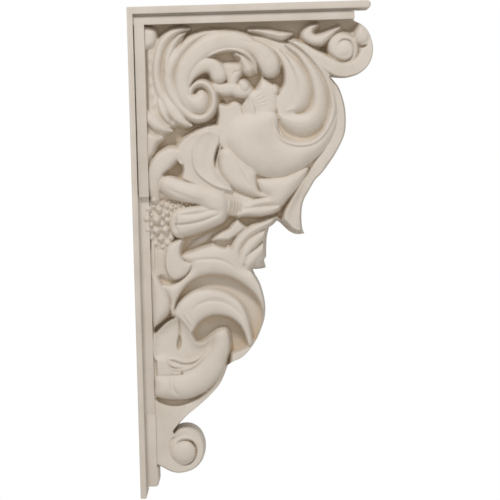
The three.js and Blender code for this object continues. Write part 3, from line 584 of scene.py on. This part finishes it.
# edges that two forms of the lower scroll share
coveEdge = [(50.5, 366.2), (57, 354.4), (66.1, 344), (77.9, 336.8), (88.3, 333.8), (100, 333.5),
            (113.2, 335.5), (124.9, 340), (135.4, 346.6), (144.5, 354.4), (151, 362.3), (156.3, 372.7),
            (158.6, 383.2), (158.2, 394), (155, 405)]
archEdge = [(73.3, 400), (77.9, 393.6), (85.7, 388), (96.2, 384.6), (107.9, 385), (118.4, 388.4),
            (126.2, 394.3), (131.5, 401.5)]
scrollWork = {
    "outerBand": ("swell", 23, 28.5, 13, [(46.6, 384), (44.4, 377), (45.2, 368), (42.6, 360), (37.8, 352),
        (34.5, 347), (46, 346.5), (56, 342.6), (64, 336.2), (69.8, 329), (71.6, 321), (66, 317), (60, 311),
        (74, 306), (90, 301), (106, 298), (118, 301), (125, 312), (129, 322), (137, 331), (148, 333),
        (157, 345), (163, 358), (166, 372), (166, 386), (163, 400), (156, 413), (148, 424), (144, 423),
        (149, 417), *coveEdge[::-1], (47.8, 378)]),
    "bandCrease": ("crease", [(64, 322, 1.6, 0), (77, 316.5, 3, 1.3), (92, 315.2, 3.4, 1.6),
        (107, 316.8, 3.4, 1.6), (121, 323.5, 3, 1.3), (136, 336, 1.6, 0)]),
    "cove": ("pit", 8, [(47.8, 380), *coveEdge, (149, 416.5), (143, 424), (137, 424), (136, 400), (118, 372),
        (90, 362), (64, 372), (54, 384)]),
    "coveRise": ("rising", [(50.6, 377.5, 1.6, 20), (53.7, 367.8, 3, 20.5), (62.4, 357.2, 5.2, 21),
        (74.2, 349.4, 7.6, 21.5), (89, 345.4, 9.4, 21.5), (99.6, 345.4, 9.8, 21.5), (111, 348, 10, 21.5),
        (124, 354.4, 10, 21.5), (135.6, 364.2, 10, 21.5), (142.4, 374.4, 10, 21.5), (146.2, 386, 9.6, 21.5),
        (147, 398.4, 8, 21), (146, 410, 5, 20), (142.8, 422, 1.6, 19)]),
    "innerArch": ("swell", 25, 29.5, 9, [(48.5, 382.5), (50.5, 376.8), (55.7, 368.8), (64.8, 361),
        (76.6, 355), (89.6, 353.4), (98.8, 353.8), (109.2, 356.4), (119.7, 362.3), (128.8, 370), (134, 378),
        (137.3, 387), (140, 397.5), (142, 409.3), (142.8, 422), (137.4, 423.5), (136, 413),
        *archEdge[::-1], (69.4, 407.6), (63.5, 399), (58, 392), (52, 387.6)]),
    "archCrease": ("crease", [(68, 384, 1.6, 0), (72, 376.6, 2.8, .7), (79, 371.2, 3.4, 1.2),
        (89, 367.6, 3.8, 1.5), (100, 367.2, 3.8, 1.6), (111.5, 370.2, 3.6, 1.7), (122, 376.6, 3.2, 1.7),
        (130, 386, 2.4, 1.5), (135.4, 398, 1.2, 0)]),
    "archStep": ("cut", [(84, 366, .7, 0), (96, 363.8, 1, .9), (110, 366.2, 1, 1), (121, 372.6, 1, 1),
        (130, 382, .8, .8), (135, 392, .6, 0)]),
    "flute1": ("crease", [(54.6, 376, 1.4, 0), (59.6, 386, 2.4, 1.4), (66, 396, 2.2, 1.4),
        (70, 403, 1.2, 0)]),
    "flute2": ("crease", [(61, 374, 1.4, 0), (65.4, 383, 2.2, 1.1), (71.4, 392, 2, 1), (75, 396, 1, 0)]),
    "archHollow": ("pit", 5, [(69.4, 407), *archEdge, (135.8, 412), (138.4, 424), (131.5, 429.3),
        (119.6, 434), (118.6, 446), (110, 448), (104, 420), (96, 411.4), (89.6, 416), (81.8, 421),
        (73.4, 419.4)]),
    "floorLeft": ("rising", [(69, 409, 2, 12), (75, 413, 5, 13), (83, 411, 7.4, 13), (91, 404.6, 8, 12),
        (99, 399, 7, 9), (107, 396, 5, 7)]),
    "floorRight": ("rising", [(106, 430, 6, 5), (116, 429, 9, 6), (126, 421, 10.5, 6.5), (134, 412, 8, 6.5),
        (138, 403, 4, 6)]),
}


curlWork = {
    "bowl": ("swell", 26, 18.5, 15, [(22.2, 406), (33, 396.6), (46.6, 387), (52, 388.6), (58, 392.4),
        (63.5, 399.4), (68.8, 409.4), (73.4, 418.8), (81.8, 420.4), (89.6, 415.4), (96.6, 409.6), (97, 419),
        (93, 430), (86, 438), (75, 446), (62, 449), (50, 449), (40, 445), (35, 438), (22.2, 437)]),
    "bowlLip": ("round", [(94.4, 412, 1, 24), (91.4, 421.6, 1.6, 24.8), (84.8, 431.4, 2.2, 25.2),
        (73.3, 440, 2.6, 25.4), (62.5, 442.6, 2.6, 25.4), (54.3, 441.4, 2.4, 25.2), (46, 438.4, 2, 24.4),
        (38, 438, 1.4, 23.6)]),
    "underBowl": ("pit", 22.6, [(38, 438.8), (48.5, 439.4), (54.3, 443.2), (62.5, 444.6), (73.3, 441.8),
        (85.6, 432.6), (92, 421.6), (93.6, 422.6), (87, 435), (77, 445), (66.6, 450.4), (55.7, 452.6),
        (46.2, 452.2), (40, 449), (37, 443.8)]),
    "innerEdge": ("round", [(93.6, 412, 1, 25), (92.4, 422, 1.6, 26.4), (86.4, 433.4, 1.8, 27),
        (76.6, 443.6, 1.9, 27.4), (66.6, 449.6, 1.9, 27.6), (55.7, 452.2, 1.9, 27.4), (46.2, 451.8, 1.8, 27),
        (39.8, 448.6, 1.6, 26.4), (36.6, 443.4, 1.4, 26), (36.2, 438.8, 1, 25)]),
    "leftBlock": ("plate", 25, 1.6, [(24.6, 438.6), (36, 438.6), (36.6, 444), (39.4, 449), (45.6, 452.6),
        (56, 453.6), (54, 457.4), (46.6, 458.4), (24.6, 458.4)]),
    "curlFace": ("flat", [(91, 430, 4, 25), (84, 441, 5, 25), (73, 449, 5, 25), (60, 454, 4, 25)]),
    "bigCurl": ("swell", 25, 32, 15, [(97.2, 410), (100, 406.2), (105.2, 403.8), (109.8, 403.4), (112.4, 405),
        (114.4, 411), (115, 421), (113.4, 431), (110.2, 440), (106.4, 450), (101, 458.8), (93, 468.8),
        (82, 478), (71, 483.2), (61, 485.8), (51, 486.4), (35.4, 485.4), (22.8, 482.6), (22.4, 470),
        (23, 459.8), (35, 459.4), (46.9, 459.4), (55.7, 458.3), (69.3, 453), (78.8, 446), (85.6, 437),
        (91, 428.4), (95.7, 418.9)]),
    "lobeLine": ("crease", [(43.4, 457, 3, 1), (42.6, 466, 4.6, 2.4), (43.4, 474, 4.6, 2.4),
        (48, 481, 3.4, 1.6), (54, 485, 2, 0)]),
    "lobeEdge": ("round", [(48.4, 460, .8, 27), (47, 466, 1.5, 31), (47.6, 473, 1.6, 31.4),
        (51.6, 480, 1.3, 29.6), (57, 484, .8, 26)]),
    "dropNeck": ("crease", [(53.6, 388.6, 1.2, 4), (54.1, 396, 1.5, 4), (54, 405, 1.9, 4),
        (53.4, 412, 2.4, 3)]),
    "drop": ("pit", 12, [(53.2, 392), (54.3, 392), (54.9, 404), (56.6, 411), (57.6, 418), (56, 425),
        (52.2, 430.4), (49.2, 427), (48.2, 421), (49.6, 414), (52.4, 405)]),
    "ledge": ("plate", 25, 1.6, [(118.8, 434.2), (131.5, 429.6), (142.6, 424.6), (149, 417), (155, 407),
        (168, 407), (168, 440), (122, 462), (117.4, 447)]),
}


footWork = {
    "footPanel": ("plate", 20.5, 1.2, [(10, 476), (60, 480), (102, 446), (112, 448), (116.4, 449), (116, 462),
        (60, 512), (52.5, 516), (48, 521.2), (44.4, 527.2), (42, 532), (60, 556), (88, 556), (88, 590),
        (10, 590)]),
    "footBand": ("flat", [(43, 536, 1, 20.5), (49, 531, 3.4, 20.5), (56, 530, 4.6, 20.5), (65, 531, 5, 20.5),
        (73, 536.5, 5.4, 20.5), (77, 546, 5.8, 20.5), (77, 556, 6, 20.5), (73.4, 564.6, 6, 20.5)]),
    "footDish": ("pit", 15, [(41.2, 534.4), (50, 533.4), (58, 533.8), (65.6, 536.6), (71, 542.4), (73.2, 551),
        (71.8, 561), (66.4, 569), (59, 572.6), (51, 571.8), (43.6, 567.6), (37.8, 561), (34.8, 552),
        (36.2, 542)]),
    "footSnail": ("soft", [(70.4, 563, 1, 14), (71.8, 555, 1.4, 18), (71.2, 547, 2, 20), (67.4, 540, 3, 21.4),
        (60, 536.8, 4, 22), (51.4, 539, 6.6, 22.6), (45, 546, 8.6, 23), (44.4, 555, 8.8, 22),
        (49, 562, 8, 20)]),
    "footEye": ("swell", 20, 27.5, 13, [(43, 545), (50, 540.6), (58, 540.4), (65, 544), (69, 551),
        (68.6, 559), (64, 566), (56, 569.6), (48, 568), (41.4, 562), (38.6, 554)]),
    "footSpiral": ("crease", [(50, 551, .8, 0), (46.8, 548, 1.4, 1), (48, 543, 1.8, 2.4), (53, 540, 2, 3.6),
        (59.6, 540, 2, 4), (65.6, 543, 2, 4), (69.4, 549, 1.9, 3.6), (70, 556.6, 1.6, 2.6),
        (67, 564, 1.2, 1)]),
}


pitWork = {
    "lobePit": ("pit", 10, [(74.6, 102.6), (77.6, 96), (82, 90.4), (88, 86), (95, 83), (100, 85), (99, 88.8),
        (93, 90.4), (86, 92.6), (79.6, 97.4)]),
    "spoonSlit": ("pit", 14, [(108.8, 172), (110.8, 173), (110, 181), (108, 189), (106.2, 196),
        (104.6, 203.4), (103, 202.8), (102, 194), (102.8, 187), (105, 180), (107, 175)]),
    "tonguePit": ("pit", 6, [(128, 264.5), (140, 266.5), (155, 267.5), (172, 266.8), (160, 271.5),
        (148, 274.5), (141, 278), (133, 271)]),
    "peakPit": ("pit", 12, [(100, 291), (108, 291.5), (118, 291), (128, 291.5), (120, 296.5), (116, 303),
        (111, 303.5), (103, 300.5), (98, 298)]),
    "slotPit": ("pit", 4, [(22, 399), (30, 392.5), (40, 386), (47, 385), (48, 388), (38, 393.5), (30, 400.5),
        (24.5, 406), (22, 405)]),
    "underCurl": ("pit", 11, [(22, 484), (35.4, 486.6), (52, 487.6), (62, 487), (72, 484.4), (83, 479.2),
        (93.6, 470), (101.4, 460), (102.8, 461), (95.4, 472.6), (85, 482.4), (75.4, 489.2), (66, 493.4),
        (54.3, 497.6), (42, 498), (31.3, 495), (22, 490)]),
    "budNotch": ("pit", 19, [(285, 54.5), (299, 53.5), (296, 58), (291, 60.5), (286.5, 59)]),
    "lipNotch": ("pit", 14, [(183, 145), (185, 144.5), (185.5, 152), (188, 162), (186.5, 163.5), (183, 155)]),
    "hookPit": ("pit", 8, [(38, 209.5), (43, 204), (50, 200), (57, 197.5), (62.5, 198), (63.5, 206),
        (62, 214.5), (56, 213.5), (48, 211)]),
    "sheathPit": ("pit", 15, [(96, 66.5), (103, 63), (112, 60.5), (124, 60.5), (135, 63), (140, 68),
        (138, 73), (128, 73.5), (115, 74), (110, 70.5), (104, 67.5)]),
}


carveOrder = [hollowWork, frondWork, knobWork, hornWork, sweepWork, noseWork, middleWork, leftWork, podWork,
              berryWork, scrollWork, curlWork, footWork, pitWork]


def carvedRelief():
    relief = newRelief()
    for work in carveOrder:
        carve(relief, work)
        if work is hollowWork:
            relief["height"] = blurred(relief["height"], casting["hollowSoftening"] / relief["step"])
    relief["height"] = blurred(relief["height"], casting["softening"] / relief["step"])
    return relief


def deselectAll():
    if bpy.context.object and bpy.context.object.mode != "OBJECT":
        bpy.ops.object.mode_set(mode="OBJECT")
    bpy.ops.object.select_all(action="DESELECT")


def onlyThis(piece):
    deselectAll()
    piece.select_set(True)
    bpy.context.view_layer.objects.active = piece


def inEditMode(piece, action="SELECT"):
    onlyThis(piece)
    bpy.ops.object.mode_set(mode="EDIT")
    bpy.ops.mesh.select_all(action=action)


def selectIn(piece, kind, chosen):
    # edit mode, with only the chosen vertices or polygons selected
    inEditMode(piece, "DESELECT")
    bpy.ops.mesh.select_mode(type="FACE" if kind == "polygons" else "VERT")
    bpy.ops.object.mode_set(mode="OBJECT")
    getattr(piece.data, kind).foreach_set("select", chosen)
    bpy.ops.object.mode_set(mode="EDIT")


def turnOutwards():
    # for the closed piece in edit mode, which is then left
    bpy.ops.mesh.select_all(action="SELECT")
    bpy.ops.mesh.normals_make_consistent(inside=False)
    bpy.ops.object.mode_set(mode="OBJECT")


def placesOf(piece):
    places = np.empty(len(piece.data.vertices) * 3)
    piece.data.vertices.foreach_get("co", places)
    return places.reshape(-1, 3)


def setPlaces(piece, places):
    piece.data.vertices.foreach_set("co", places.ravel())
    piece.data.update()


def atWidth(piece, fromMiddle):
    # which points lie this many millimetres from the middle, to a thousandth
    return np.abs(np.abs(placesOf(piece)[:, 1]) * 1000 - fromMiddle) < .001


def fromDrawing(outs, downs, fromMiddle):
    # drawing places in millimetres to metres in the frame
    return np.stack([outs, -fromMiddle, block["aboveMiddle"] - downs], -1) / 1000


def inFixedOrder(piece):
    # sorted by place, because edit mode leaves another order each run, which the thinning would follow
    places = placesOf(piece)
    order = np.lexsort(places.T)
    number = np.argsort(order).tolist()
    faces = [[number[v] for v in face.vertices] for face in piece.data.polygons]
    starts = [face.index(min(face)) for face in faces]
    faces = sorted(face[start:] + face[:start] for face, start in zip(faces, starts))
    piece.data.clear_geometry()
    piece.data.from_pydata(places[order].tolist(), [], faces)


def addGrid(name, columns, rows):
    deselectAll()
    bpy.ops.mesh.primitive_grid_add(x_subdivisions=columns, y_subdivisions=rows, size=2)
    piece = bpy.context.object
    piece.name = name
    return piece


def gridLine(place, last):
    # number of the line that a place lies on, on a new grid from -1 to 1
    return np.rint((place + 1) / 2 * last).astype(int)


def applyModifier(piece, kind, **settings):
    onlyThis(piece)
    modifier = piece.modifiers.new(kind.lower(), kind)
    for key, value in settings.items():
        setattr(modifier, key, value)
    bpy.ops.object.modifier_apply(modifier=modifier.name)


def joinShapes(piece, other, operation):
    applyModifier(piece, "BOOLEAN", object=other, operation=operation, solver="MANIFOLD")
    bpy.data.objects.remove(other)


def makeCheek(relief):
    outs, downs, height = relief["outs"], relief["downs"], relief["height"]
    cheek = addGrid("cheek", len(outs) - 1, len(downs) - 1)
    places = placesOf(cheek)
    column, row = gridLine(places[:, 0], len(outs) - 1), gridLine(-places[:, 1], len(downs) - 1)
    lift = casting["groundFromMiddle"] + height[row, column]
    setPlaces(cheek, fromDrawing(outs[column], downs[row], lift))
    inEditMode(cheek, "DESELECT")
    bpy.ops.mesh.select_non_manifold()
    bpy.ops.mesh.extrude_region_move()
    bpy.ops.transform.resize(value=(1, 0, 1), center_override=(0, casting["pastMiddle"] / 1000, 0))
    bpy.ops.mesh.edge_face_add()
    turnOutwards()
    inFixedOrder(cheek)
    ratio = casting["cheekTriangles"] / (2 * len(cheek.data.polygons))
    applyModifier(cheek, "DECIMATE", ratio=ratio, use_collapse_triangulate=True)
    print("carved the cheek,", len(cheek.data.polygons), "triangles")
    return cheek


front = {
    "acrossSteps": [0, 2.5, 5, 7.5, 9.5, 11.5, 13.5, 16, 19, 22, 25.5, 29, 32.5, 36, 39.5, 43, 46.5, 50, 53.5,
                    57, 60.5, 63.5, 66, 68.5, 71, 73.5, 76, 82],  # from the middle to past the cheek
    "alongStep": 2.4,
    "blendReach": 4,  # steps along the front over which one profile turns into the next
    "veinPitch": 15,
    "veinSlant": 1.15,
    "veinSharpness": 3,
    "veinFade": [(8, 0), (14, 1), (60, 1), (72, 0)],  # share of their depth, by the distance from the middle
    "dropCurve": 1.5,
    "profiles": {  # depth below the outline, by the distance from the middle
        "roll": [(0, 0), (8, .5), (11, 2.6), (14, .9), (38, .4), (56, 1.1), (61, 3.2), (66, 1.9), (71, 2.2),
                 (76, 4)],
        "leaf": [(0, 0), (7, .6), (12, 4.2), (20, 3.2), (38, 1.2), (56, 1.8), (70, 3.2), (76, 4.5)],
        "plain": [(0, 0), (30, .3), (60, 1.2), (76, 3)],
    },
    "backCorners": [(16, 568), (3, 568), (3, 15)],
}
# the outline from the side, in runs that meet at corners: profile, depth of veins, drop of the edge, knots
outlineRuns = [
    ("roll", 0, 0, [(276, 15), (282, 23.5), (290, 28), (297, 34), (302, 43), (305, 57), (304, 68), (300, 78),
        (294, 85), (285, 91), (275, 94), (267, 95), (255, 94), (251, 93)]),
    ("leaf", 3.2, 0, [(251, 93), (256, 99), (261, 106), (265, 117), (268, 130), (269, 145), (268, 160),
        (265, 170), (260, 180), (253, 192), (245, 203), (237, 213), (228, 222), (220, 235), (214, 245),
        (211, 255), (210, 265), (210, 275), (211, 283), (213, 288)]),
    ("leaf", 1.6, 7, [(213, 288), (205, 289), (198, 287), (192, 283), (187, 278), (182, 273), (179, 271)]),
    ("leaf", 1.6, 3, [(179, 271), (174, 276), (169, 279)]),
    ("leaf", 2.4, 2, [(169, 279), (166, 290), (165, 300), (164.5, 310), (164.5, 315)]),
    ("leaf", 0, 3, [(164.5, 315), (161.5, 320)]),
    ("leaf", 0, 6, [(161.5, 320), (163.5, 329)]),
    ("leaf", 0, 6, [(163.5, 329), (160, 330.4), (152, 331), (147, 331)]),
    ("roll", 2.2, 0, [(147, 331), (150, 338), (154, 345), (157, 353), (160, 365), (161.5, 377), (161, 387),
        (159, 397), (155, 407), (150, 418), (140, 432), (130, 441), (120, 445), (113, 449.5)]),
    ("leaf", 1.8, 0, [(113, 449.5), (110.2, 456), (106.8, 464.4), (101.4, 474.2), (94, 482.8), (84.2, 492.2),
        (73.6, 501.2), (62.4, 509.8), (54, 517.4), (48.2, 524), (43, 530)]),
    ("roll", 0, 0, [(43, 530), (47.4, 525.6), (54.4, 523.4), (64, 524), (72, 528.2), (77.6, 534.5), (81, 543),
        (82, 550), (81, 558), (78, 566), (73, 572.5), (66, 577.5), (57, 580.5), (47, 581.5), (38, 579.5),
        (33, 577), (28, 574), (16, 568)]),
]


def outlineStations():
    stations = []
    for profile, veins, drop, knots in outlineRuns:
        length = np.hypot(*np.diff(np.array(knots, float), axis=0).T).sum()
        curve = curveThrough(knots, max(2, int(length / front["alongStep"]) + 1))
        stations += [(*place, profile, veins, drop) for place in curve[:-1]]
    return stations + [(*corner, "plain", 0, 0) for corner in front["backCorners"]]


def frontDepth(stations, along, across):
    # depth of the front below its outline, for each place along and across
    depth = np.zeros((len(stations), len(across)))
    for k, (_, _, profile, veins, drop) in enumerate(stations):
        phase = (along[k] - across * front["veinSlant"]) / front["veinPitch"]
        valley = np.abs(2 * (phase - np.floor(phase)) - 1) ** front["veinSharpness"]
        depth[k] = np.interp(across, *zip(*front["profiles"][profile]))
        depth[k] += veins * valley * np.interp(across, *zip(*front["veinFade"]))
        depth[k] += drop * np.clip(across / block["halfWidth"], 0, 1) ** front["dropCurve"]
    reach = front["blendReach"]
    padded = np.pad(depth, ((reach, reach), (0, 0)), mode="edge")
    return sum(w * padded[k:k + len(depth)] for k, w in enumerate(bellWeights(reach, reach / 2)))


def inwardFrom(places):
    # direction into the block at each place of the outline, smoothed over the corners
    toNext = np.roll(places, -1, 0) - np.roll(places, 1, 0)
    inward = np.stack([-toNext[:, 1], toNext[:, 0]], 1)
    inward /= np.hypot(*inward.T)[:, None]
    for _ in range(3):
        inward[1:-1] = (inward[:-2] + inward[1:-1] * 2 + inward[2:]) / 4
    inward /= np.hypot(*inward.T)[:, None]
    inward[-len(front["backCorners"]):] = 0
    return inward


def makeEnvelope():
    stations = outlineStations()
    across = np.array(front["acrossSteps"], float)
    places = np.array([station[:2] for station in stations])
    places[:, 0] = np.minimum(places[:, 0], block["depth"])
    along = np.concatenate([[0], np.cumsum(np.hypot(*np.diff(places, axis=0).T))])
    depth, inward = frontDepth(stations, along, across), inwardFrom(places)
    envelope = addGrid("envelope", len(places), len(across) - 1)
    grid = placesOf(envelope)
    station, step = gridLine(grid[:, 0], len(places)) % len(places), gridLine(grid[:, 1], len(across) - 1)
    moved = places[station] + inward[station] * depth[station, step][:, None]
    setPlaces(envelope, fromDrawing(moved[:, 0], moved[:, 1], across[step]))
    inEditMode(envelope)
    bpy.ops.mesh.remove_doubles(threshold=casting["mergeMetres"])
    for end in (across[0], across[-1]):
        bpy.ops.object.mode_set(mode="OBJECT")
        selectIn(envelope, "vertices", atWidth(envelope, end))
        bpy.ops.mesh.edge_face_add()
    turnOutwards()
    print("shaped the front,", len(envelope.data.polygons), "faces")
    return envelope


frameBands = {  # out from, out to, distance of the face from the middle, down from, down to, rounding
    "cap": (0, 299, 76, 0, 9, 1.2),
    "capNose": (284, 302.4, 76, 0, 9.4, 3.4),
    "capGroove": (0, 280, 65, 8, 14, .3),
    "plainBand": (0, 282, 70, 12.5, 22.5, .9),
    "plate": (0, 7.2, 76, 0, 610, .9),
    "plateGroove": (0, 10, 63, 2, 598, .3),
    "stile": (8.2, 21, 70, 12.5, 236, .9),
    "lowerStile": (8.2, 20.6, 63, 232, 507.2, .9),
    "footStile": (8.2, 21.2, 63.4, 506.4, 596, .9),
    "stileToe": (10, 22.8, 62.6, 571, 595, 2.4),
}


def makeBand(name, values):
    outFrom, outTo, face, downFrom, downTo, rounding = values
    middle = fromDrawing((outFrom + outTo) / 2, (downFrom + downTo) / 2, 0)
    deselectAll()
    bpy.ops.mesh.primitive_cube_add(size=1, location=tuple(middle))
    band = bpy.context.object
    band.name = name
    inEditMode(band)
    bpy.ops.transform.resize(value=((outTo - outFrom) / 1000, 2 * face / 1000, (downTo - downFrom) / 1000))
    bpy.ops.mesh.bevel(offset=rounding / 1000, segments=2, affect="EDGES")
    bpy.ops.object.mode_set(mode="OBJECT")
    bpy.ops.object.transform_apply(location=True, rotation=False, scale=False)
    return band


def makeFrame():
    bands = [makeBand(name, values) for name, values in frameBands.items()]
    for band in bands[1:]:
        joinShapes(bands[0], band, "UNION")
    print("built the moulded frame")
    return bands[0]


paintedShade = {  # where shade is painted into the colour in the carving's hollows, in millimetres
    "round": 6,  # a point is set against the carving this far round it
    "from": 1.2,  # depth at which the pooled tone starts
    "over": 8,  # depth at which the painted shade starts
    "near": 2.5,  # only points this near the carved surface, so not the frame or the front
}


def markPaintedShade(body, relief):
    # painted shade: how far each point of the carving lies below the carving round it, from 0 to 1, which
    # darkens its colour
    step, height = relief["step"], relief["height"]
    below = blurred(height, paintedShade["round"] / step) - height
    places = placesOf(body) * 1000
    column = np.rint((places[:, 0] - relief["outs"][0]) / step).astype(int)
    row = np.rint((block["aboveMiddle"] - places[:, 2] - relief["downs"][0]) / step).astype(int)
    spot = np.clip(row, 0, height.shape[0] - 1), np.clip(column, 0, height.shape[1] - 1)
    fromCarving = np.abs(np.abs(places[:, 1]) - casting["groundFromMiddle"] - height[spot])
    share = np.clip((below[spot] - paintedShade["from"]) / paintedShade["over"], 0, 1)
    # the share of painted shade, kept on each point for the material
    mark = body.data.attributes.new("paintedShade", "FLOAT", "POINT")
    mark.data.foreach_set("value", np.where(fromCarving < paintedShade["near"], share, 0).astype(np.float32))


def castTheCorbel():
    relief = carvedRelief()
    body = makeCheek(relief)
    joinShapes(body, makeEnvelope(), "INTERSECT")
    onMiddle = atWidth(body, 0)
    selectIn(body, "polygons", [all(onMiddle[v] for v in face.vertices) for face in body.data.polygons])
    bpy.ops.mesh.delete(type="FACE")
    bpy.ops.object.mode_set(mode="OBJECT")
    applyModifier(body, "MIRROR", use_axis=(False, True, False), use_mirror_merge=True,
                  merge_threshold=2 * casting["mergeMetres"])
    joinShapes(body, makeFrame(), "UNION")
    body.name = body.data.name = "castCorbel"
    inEditMode(body)
    bpy.ops.mesh.select_mode(type="VERT")
    bpy.ops.mesh.remove_doubles(threshold=casting["mergeMetres"])
    bpy.ops.mesh.select_all(action="DESELECT")
    bpy.ops.mesh.select_non_manifold()
    bpy.ops.object.mode_set(mode="OBJECT")
    loose = sum(v.select for v in body.data.vertices)
    triangles = sum(len(face.vertices) - 2 for face in body.data.polygons)
    print("cast the corbel,", triangles, "triangles,", loose, "open points")
    onlyThis(body)
    bpy.ops.object.shade_smooth_by_angle(angle=math.radians(casting["smoothUnder"]))
    # marks where shade is painted into the colour of the carving's hollows
    markPaintedShade(body, relief)
    return body


def linearColour(code):
    parts = [int(code[k:k + 2], 16) / 255 for k in (1, 3, 5)]
    return (*[p / 12.92 if p <= .04045 else ((p + .055) / 1.055) ** 2.4 for p in parts], 1)


def addNode(tree, kind, settings=None, links=None):
    # settings are for sockets, by name or number, or for the node itself
    node = tree.nodes.new(kind)
    for key, value in (settings or {}).items():
        if isinstance(key, int) or key in node.inputs:
            node.inputs[key].default_value = value
        else:
            setattr(node, key, value)
    for key, source in (links or {}).items():
        tree.links.new(source, node.inputs[key])
    return node


# Cast polyurethane with the factory's primer: sprayed, matt and warm off-white. The eye gets a chalky, even
# surface with faint clouds where the coat is thicker, a fine orange peel, and painted shade: a darker, warmer
# tone in the hollows of the carving.
primer = {
    "coat": "#d6cfc7",
    "thinCoat": "#cec6bc",
    # painted shade: the darker, warmer colour given to the carving's hollows
    "paintedShadeTone": "#ccbca6",
    "cloudMillimetres": 38,
    "cloudRange": (.32, .62),  # of the clouds' noise, from the thin coat to the full one
    "peelMillimetres": 1.6,
    "peelStrength": .22,
    "peelMetres": .0004,  # height of the orange peel
    "roughness": (.56, .7),
    "refraction": 1.5,
}


def primedPolyurethane():
    material = bpy.data.materials.new("primedPolyurethane")
    material.use_nodes = True
    tree = material.node_tree
    shader = tree.nodes["Principled BSDF"]
    shader.inputs["IOR"].default_value = primer["refraction"]
    place = {"Vector": addNode(tree, "ShaderNodeTexCoord").outputs["Object"]}
    cloudScale, peelScale = 1000 / primer["cloudMillimetres"], 1000 / primer["peelMillimetres"]
    clouds = addNode(tree, "ShaderNodeTexNoise", {"Scale": cloudScale, "Detail": 4, "Roughness": .55}, place)
    peel = addNode(tree, "ShaderNodeTexNoise", {"Scale": peelScale, "Detail": 3, "Roughness": .6}, place)
    tone = addNode(tree, "ShaderNodeValToRGB", None, {"Fac": clouds.outputs["Fac"]})
    for stop, position, coat in zip(tone.color_ramp.elements, primer["cloudRange"], ("thinCoat", "coat")):
        stop.position = position
        stop.color = linearColour(primer[coat])
    # painted shade: the coat's colour is mixed towards the shade tone by how deep the point lies in the
    # carving's hollows
    depth = addNode(tree, "ShaderNodeAttribute", {"attribute_name": "paintedShade"})
    withPaintedShade = addNode(tree, "ShaderNodeMix", {"data_type": "RGBA", 7: linearColour(primer["paintedShadeTone"])},
                      {0: depth.outputs["Fac"], 6: tone.outputs["Color"]})
    low, high = primer["roughness"]
    spread = {"From Min": .3, "From Max": .7, "To Min": low, "To Max": high}
    matt = addNode(tree, "ShaderNodeMapRange", spread, {"Value": clouds.outputs["Fac"]})
    strength, rise = primer["peelStrength"], primer["peelMetres"]
    bump = addNode(tree, "ShaderNodeBump", {"Strength": strength, "Distance": rise},
                   {"Height": peel.outputs["Fac"]})
    tree.links.new(withPaintedShade.outputs[2], shader.inputs["Base Color"])
    tree.links.new(matt.outputs["Result"], shader.inputs["Roughness"])
    tree.links.new(bump.outputs["Normal"], shader.inputs["Normal"])
    return material


corbel = castTheCorbel()
corbel.data.materials.clear()
corbel.data.materials.append(primedPolyurethane())
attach(corbel, "root")
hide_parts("corbel")


studio = {  # metres, watts and degrees
    "floorBelow": 1.1,  # the bracket hangs on a wall, this far above the studio's floor
    "floorSize": 9,
    "floorColour": "#f2efea",
    "cameraDistance": 6,
    "tilt": 1.48,
    "roll": 1.63,
    "frameWidth": .62,  # what the picture takes in at the corbel
    "filmWidth": 36,  # millimetres
    "lookAt": (.1443, -.07, -.0002),
    "softLights": {  # place, size and power
        "key": ((-.5, -2.1, 2.3), .6, 43),
        "fill": ((1.6, -2.6, .2), 2.2, 7),
    },
    "lampColour": "#fffaf4",
    "airColour": "#fffdf9",
    "airStrength": .545,
}


def addSoftLight(name, place, size, power):
    deselectAll()
    bpy.ops.object.light_add(type="AREA", location=place)
    light = bpy.context.object
    light.name = name
    light.data.shape = "SQUARE"
    light.data.size = size
    light.data.energy = power
    light.data.color = linearColour(studio["lampColour"])[:3]
    aim = np.array((studio["lookAt"][0], 0, 0)) - np.array(place)
    light.rotation_euler = (math.atan2(math.hypot(aim[0], aim[1]), -aim[2]), 0, math.atan2(-aim[0], aim[1]))


def layFloor():
    foot = (block["height"] - block["aboveMiddle"]) / 1000
    deselectAll()
    bpy.ops.mesh.primitive_plane_add(size=studio["floorSize"],
                                     location=(studio["lookAt"][0], 0, -foot - studio["floorBelow"]))
    floor = bpy.context.object
    floor.name = "studioFloor"
    material = bpy.data.materials.new("paleStudioFloor")
    material.use_nodes = True
    shader = material.node_tree.nodes["Principled BSDF"]
    shader.inputs["Base Color"].default_value = linearColour(studio["floorColour"])
    shader.inputs["Roughness"].default_value = .8
    floor.data.materials.append(material)


def placeCamera():
    x, y, z = studio["lookAt"]
    tilt, roll, away = math.radians(studio["tilt"]), math.radians(studio["roll"]), studio["cameraDistance"]
    bpy.ops.object.camera_add(location=(x + away * math.sin(tilt) * math.sin(roll), y - away * math.cos(tilt),
                                        z + away * math.sin(tilt) * math.cos(roll)))
    camera = bpy.context.object
    camera.rotation_euler = (math.pi / 2 - tilt, roll, 0)
    camera.data.sensor_width = studio["filmWidth"]
    camera.data.lens = studio["filmWidth"] * away / studio["frameWidth"]
    camera.data.clip_end = 50
    bpy.context.scene.camera = camera
    bpy.context.scene.view_settings.view_transform = "Standard"


def lightTheAir():
    # soft light from all round, behind which the camera sees plain white
    world = bpy.data.worlds.new("studioAir")
    bpy.context.scene.world = world
    world.use_nodes = True
    tree = world.node_tree
    light = tree.nodes["Background"]
    light.inputs["Color"].default_value = linearColour(studio["airColour"])
    light.inputs["Strength"].default_value = studio["airStrength"]
    seen = addNode(tree, "ShaderNodeBackground", {"Color": (1, 1, 1, 1), "Strength": 1})
    path = addNode(tree, "ShaderNodeLightPath")
    mix = addNode(tree, "ShaderNodeMixShader", None,
                  {0: path.outputs["Is Camera Ray"], 1: light.outputs[0], 2: seen.outputs[0]})
    tree.links.new(mix.outputs[0], tree.nodes["World Output"].inputs["Surface"])


layFloor()
placeCamera()
for name, values in studio["softLights"].items():
    addSoftLight(name, *values)
lightTheAir()
print("set the studio")
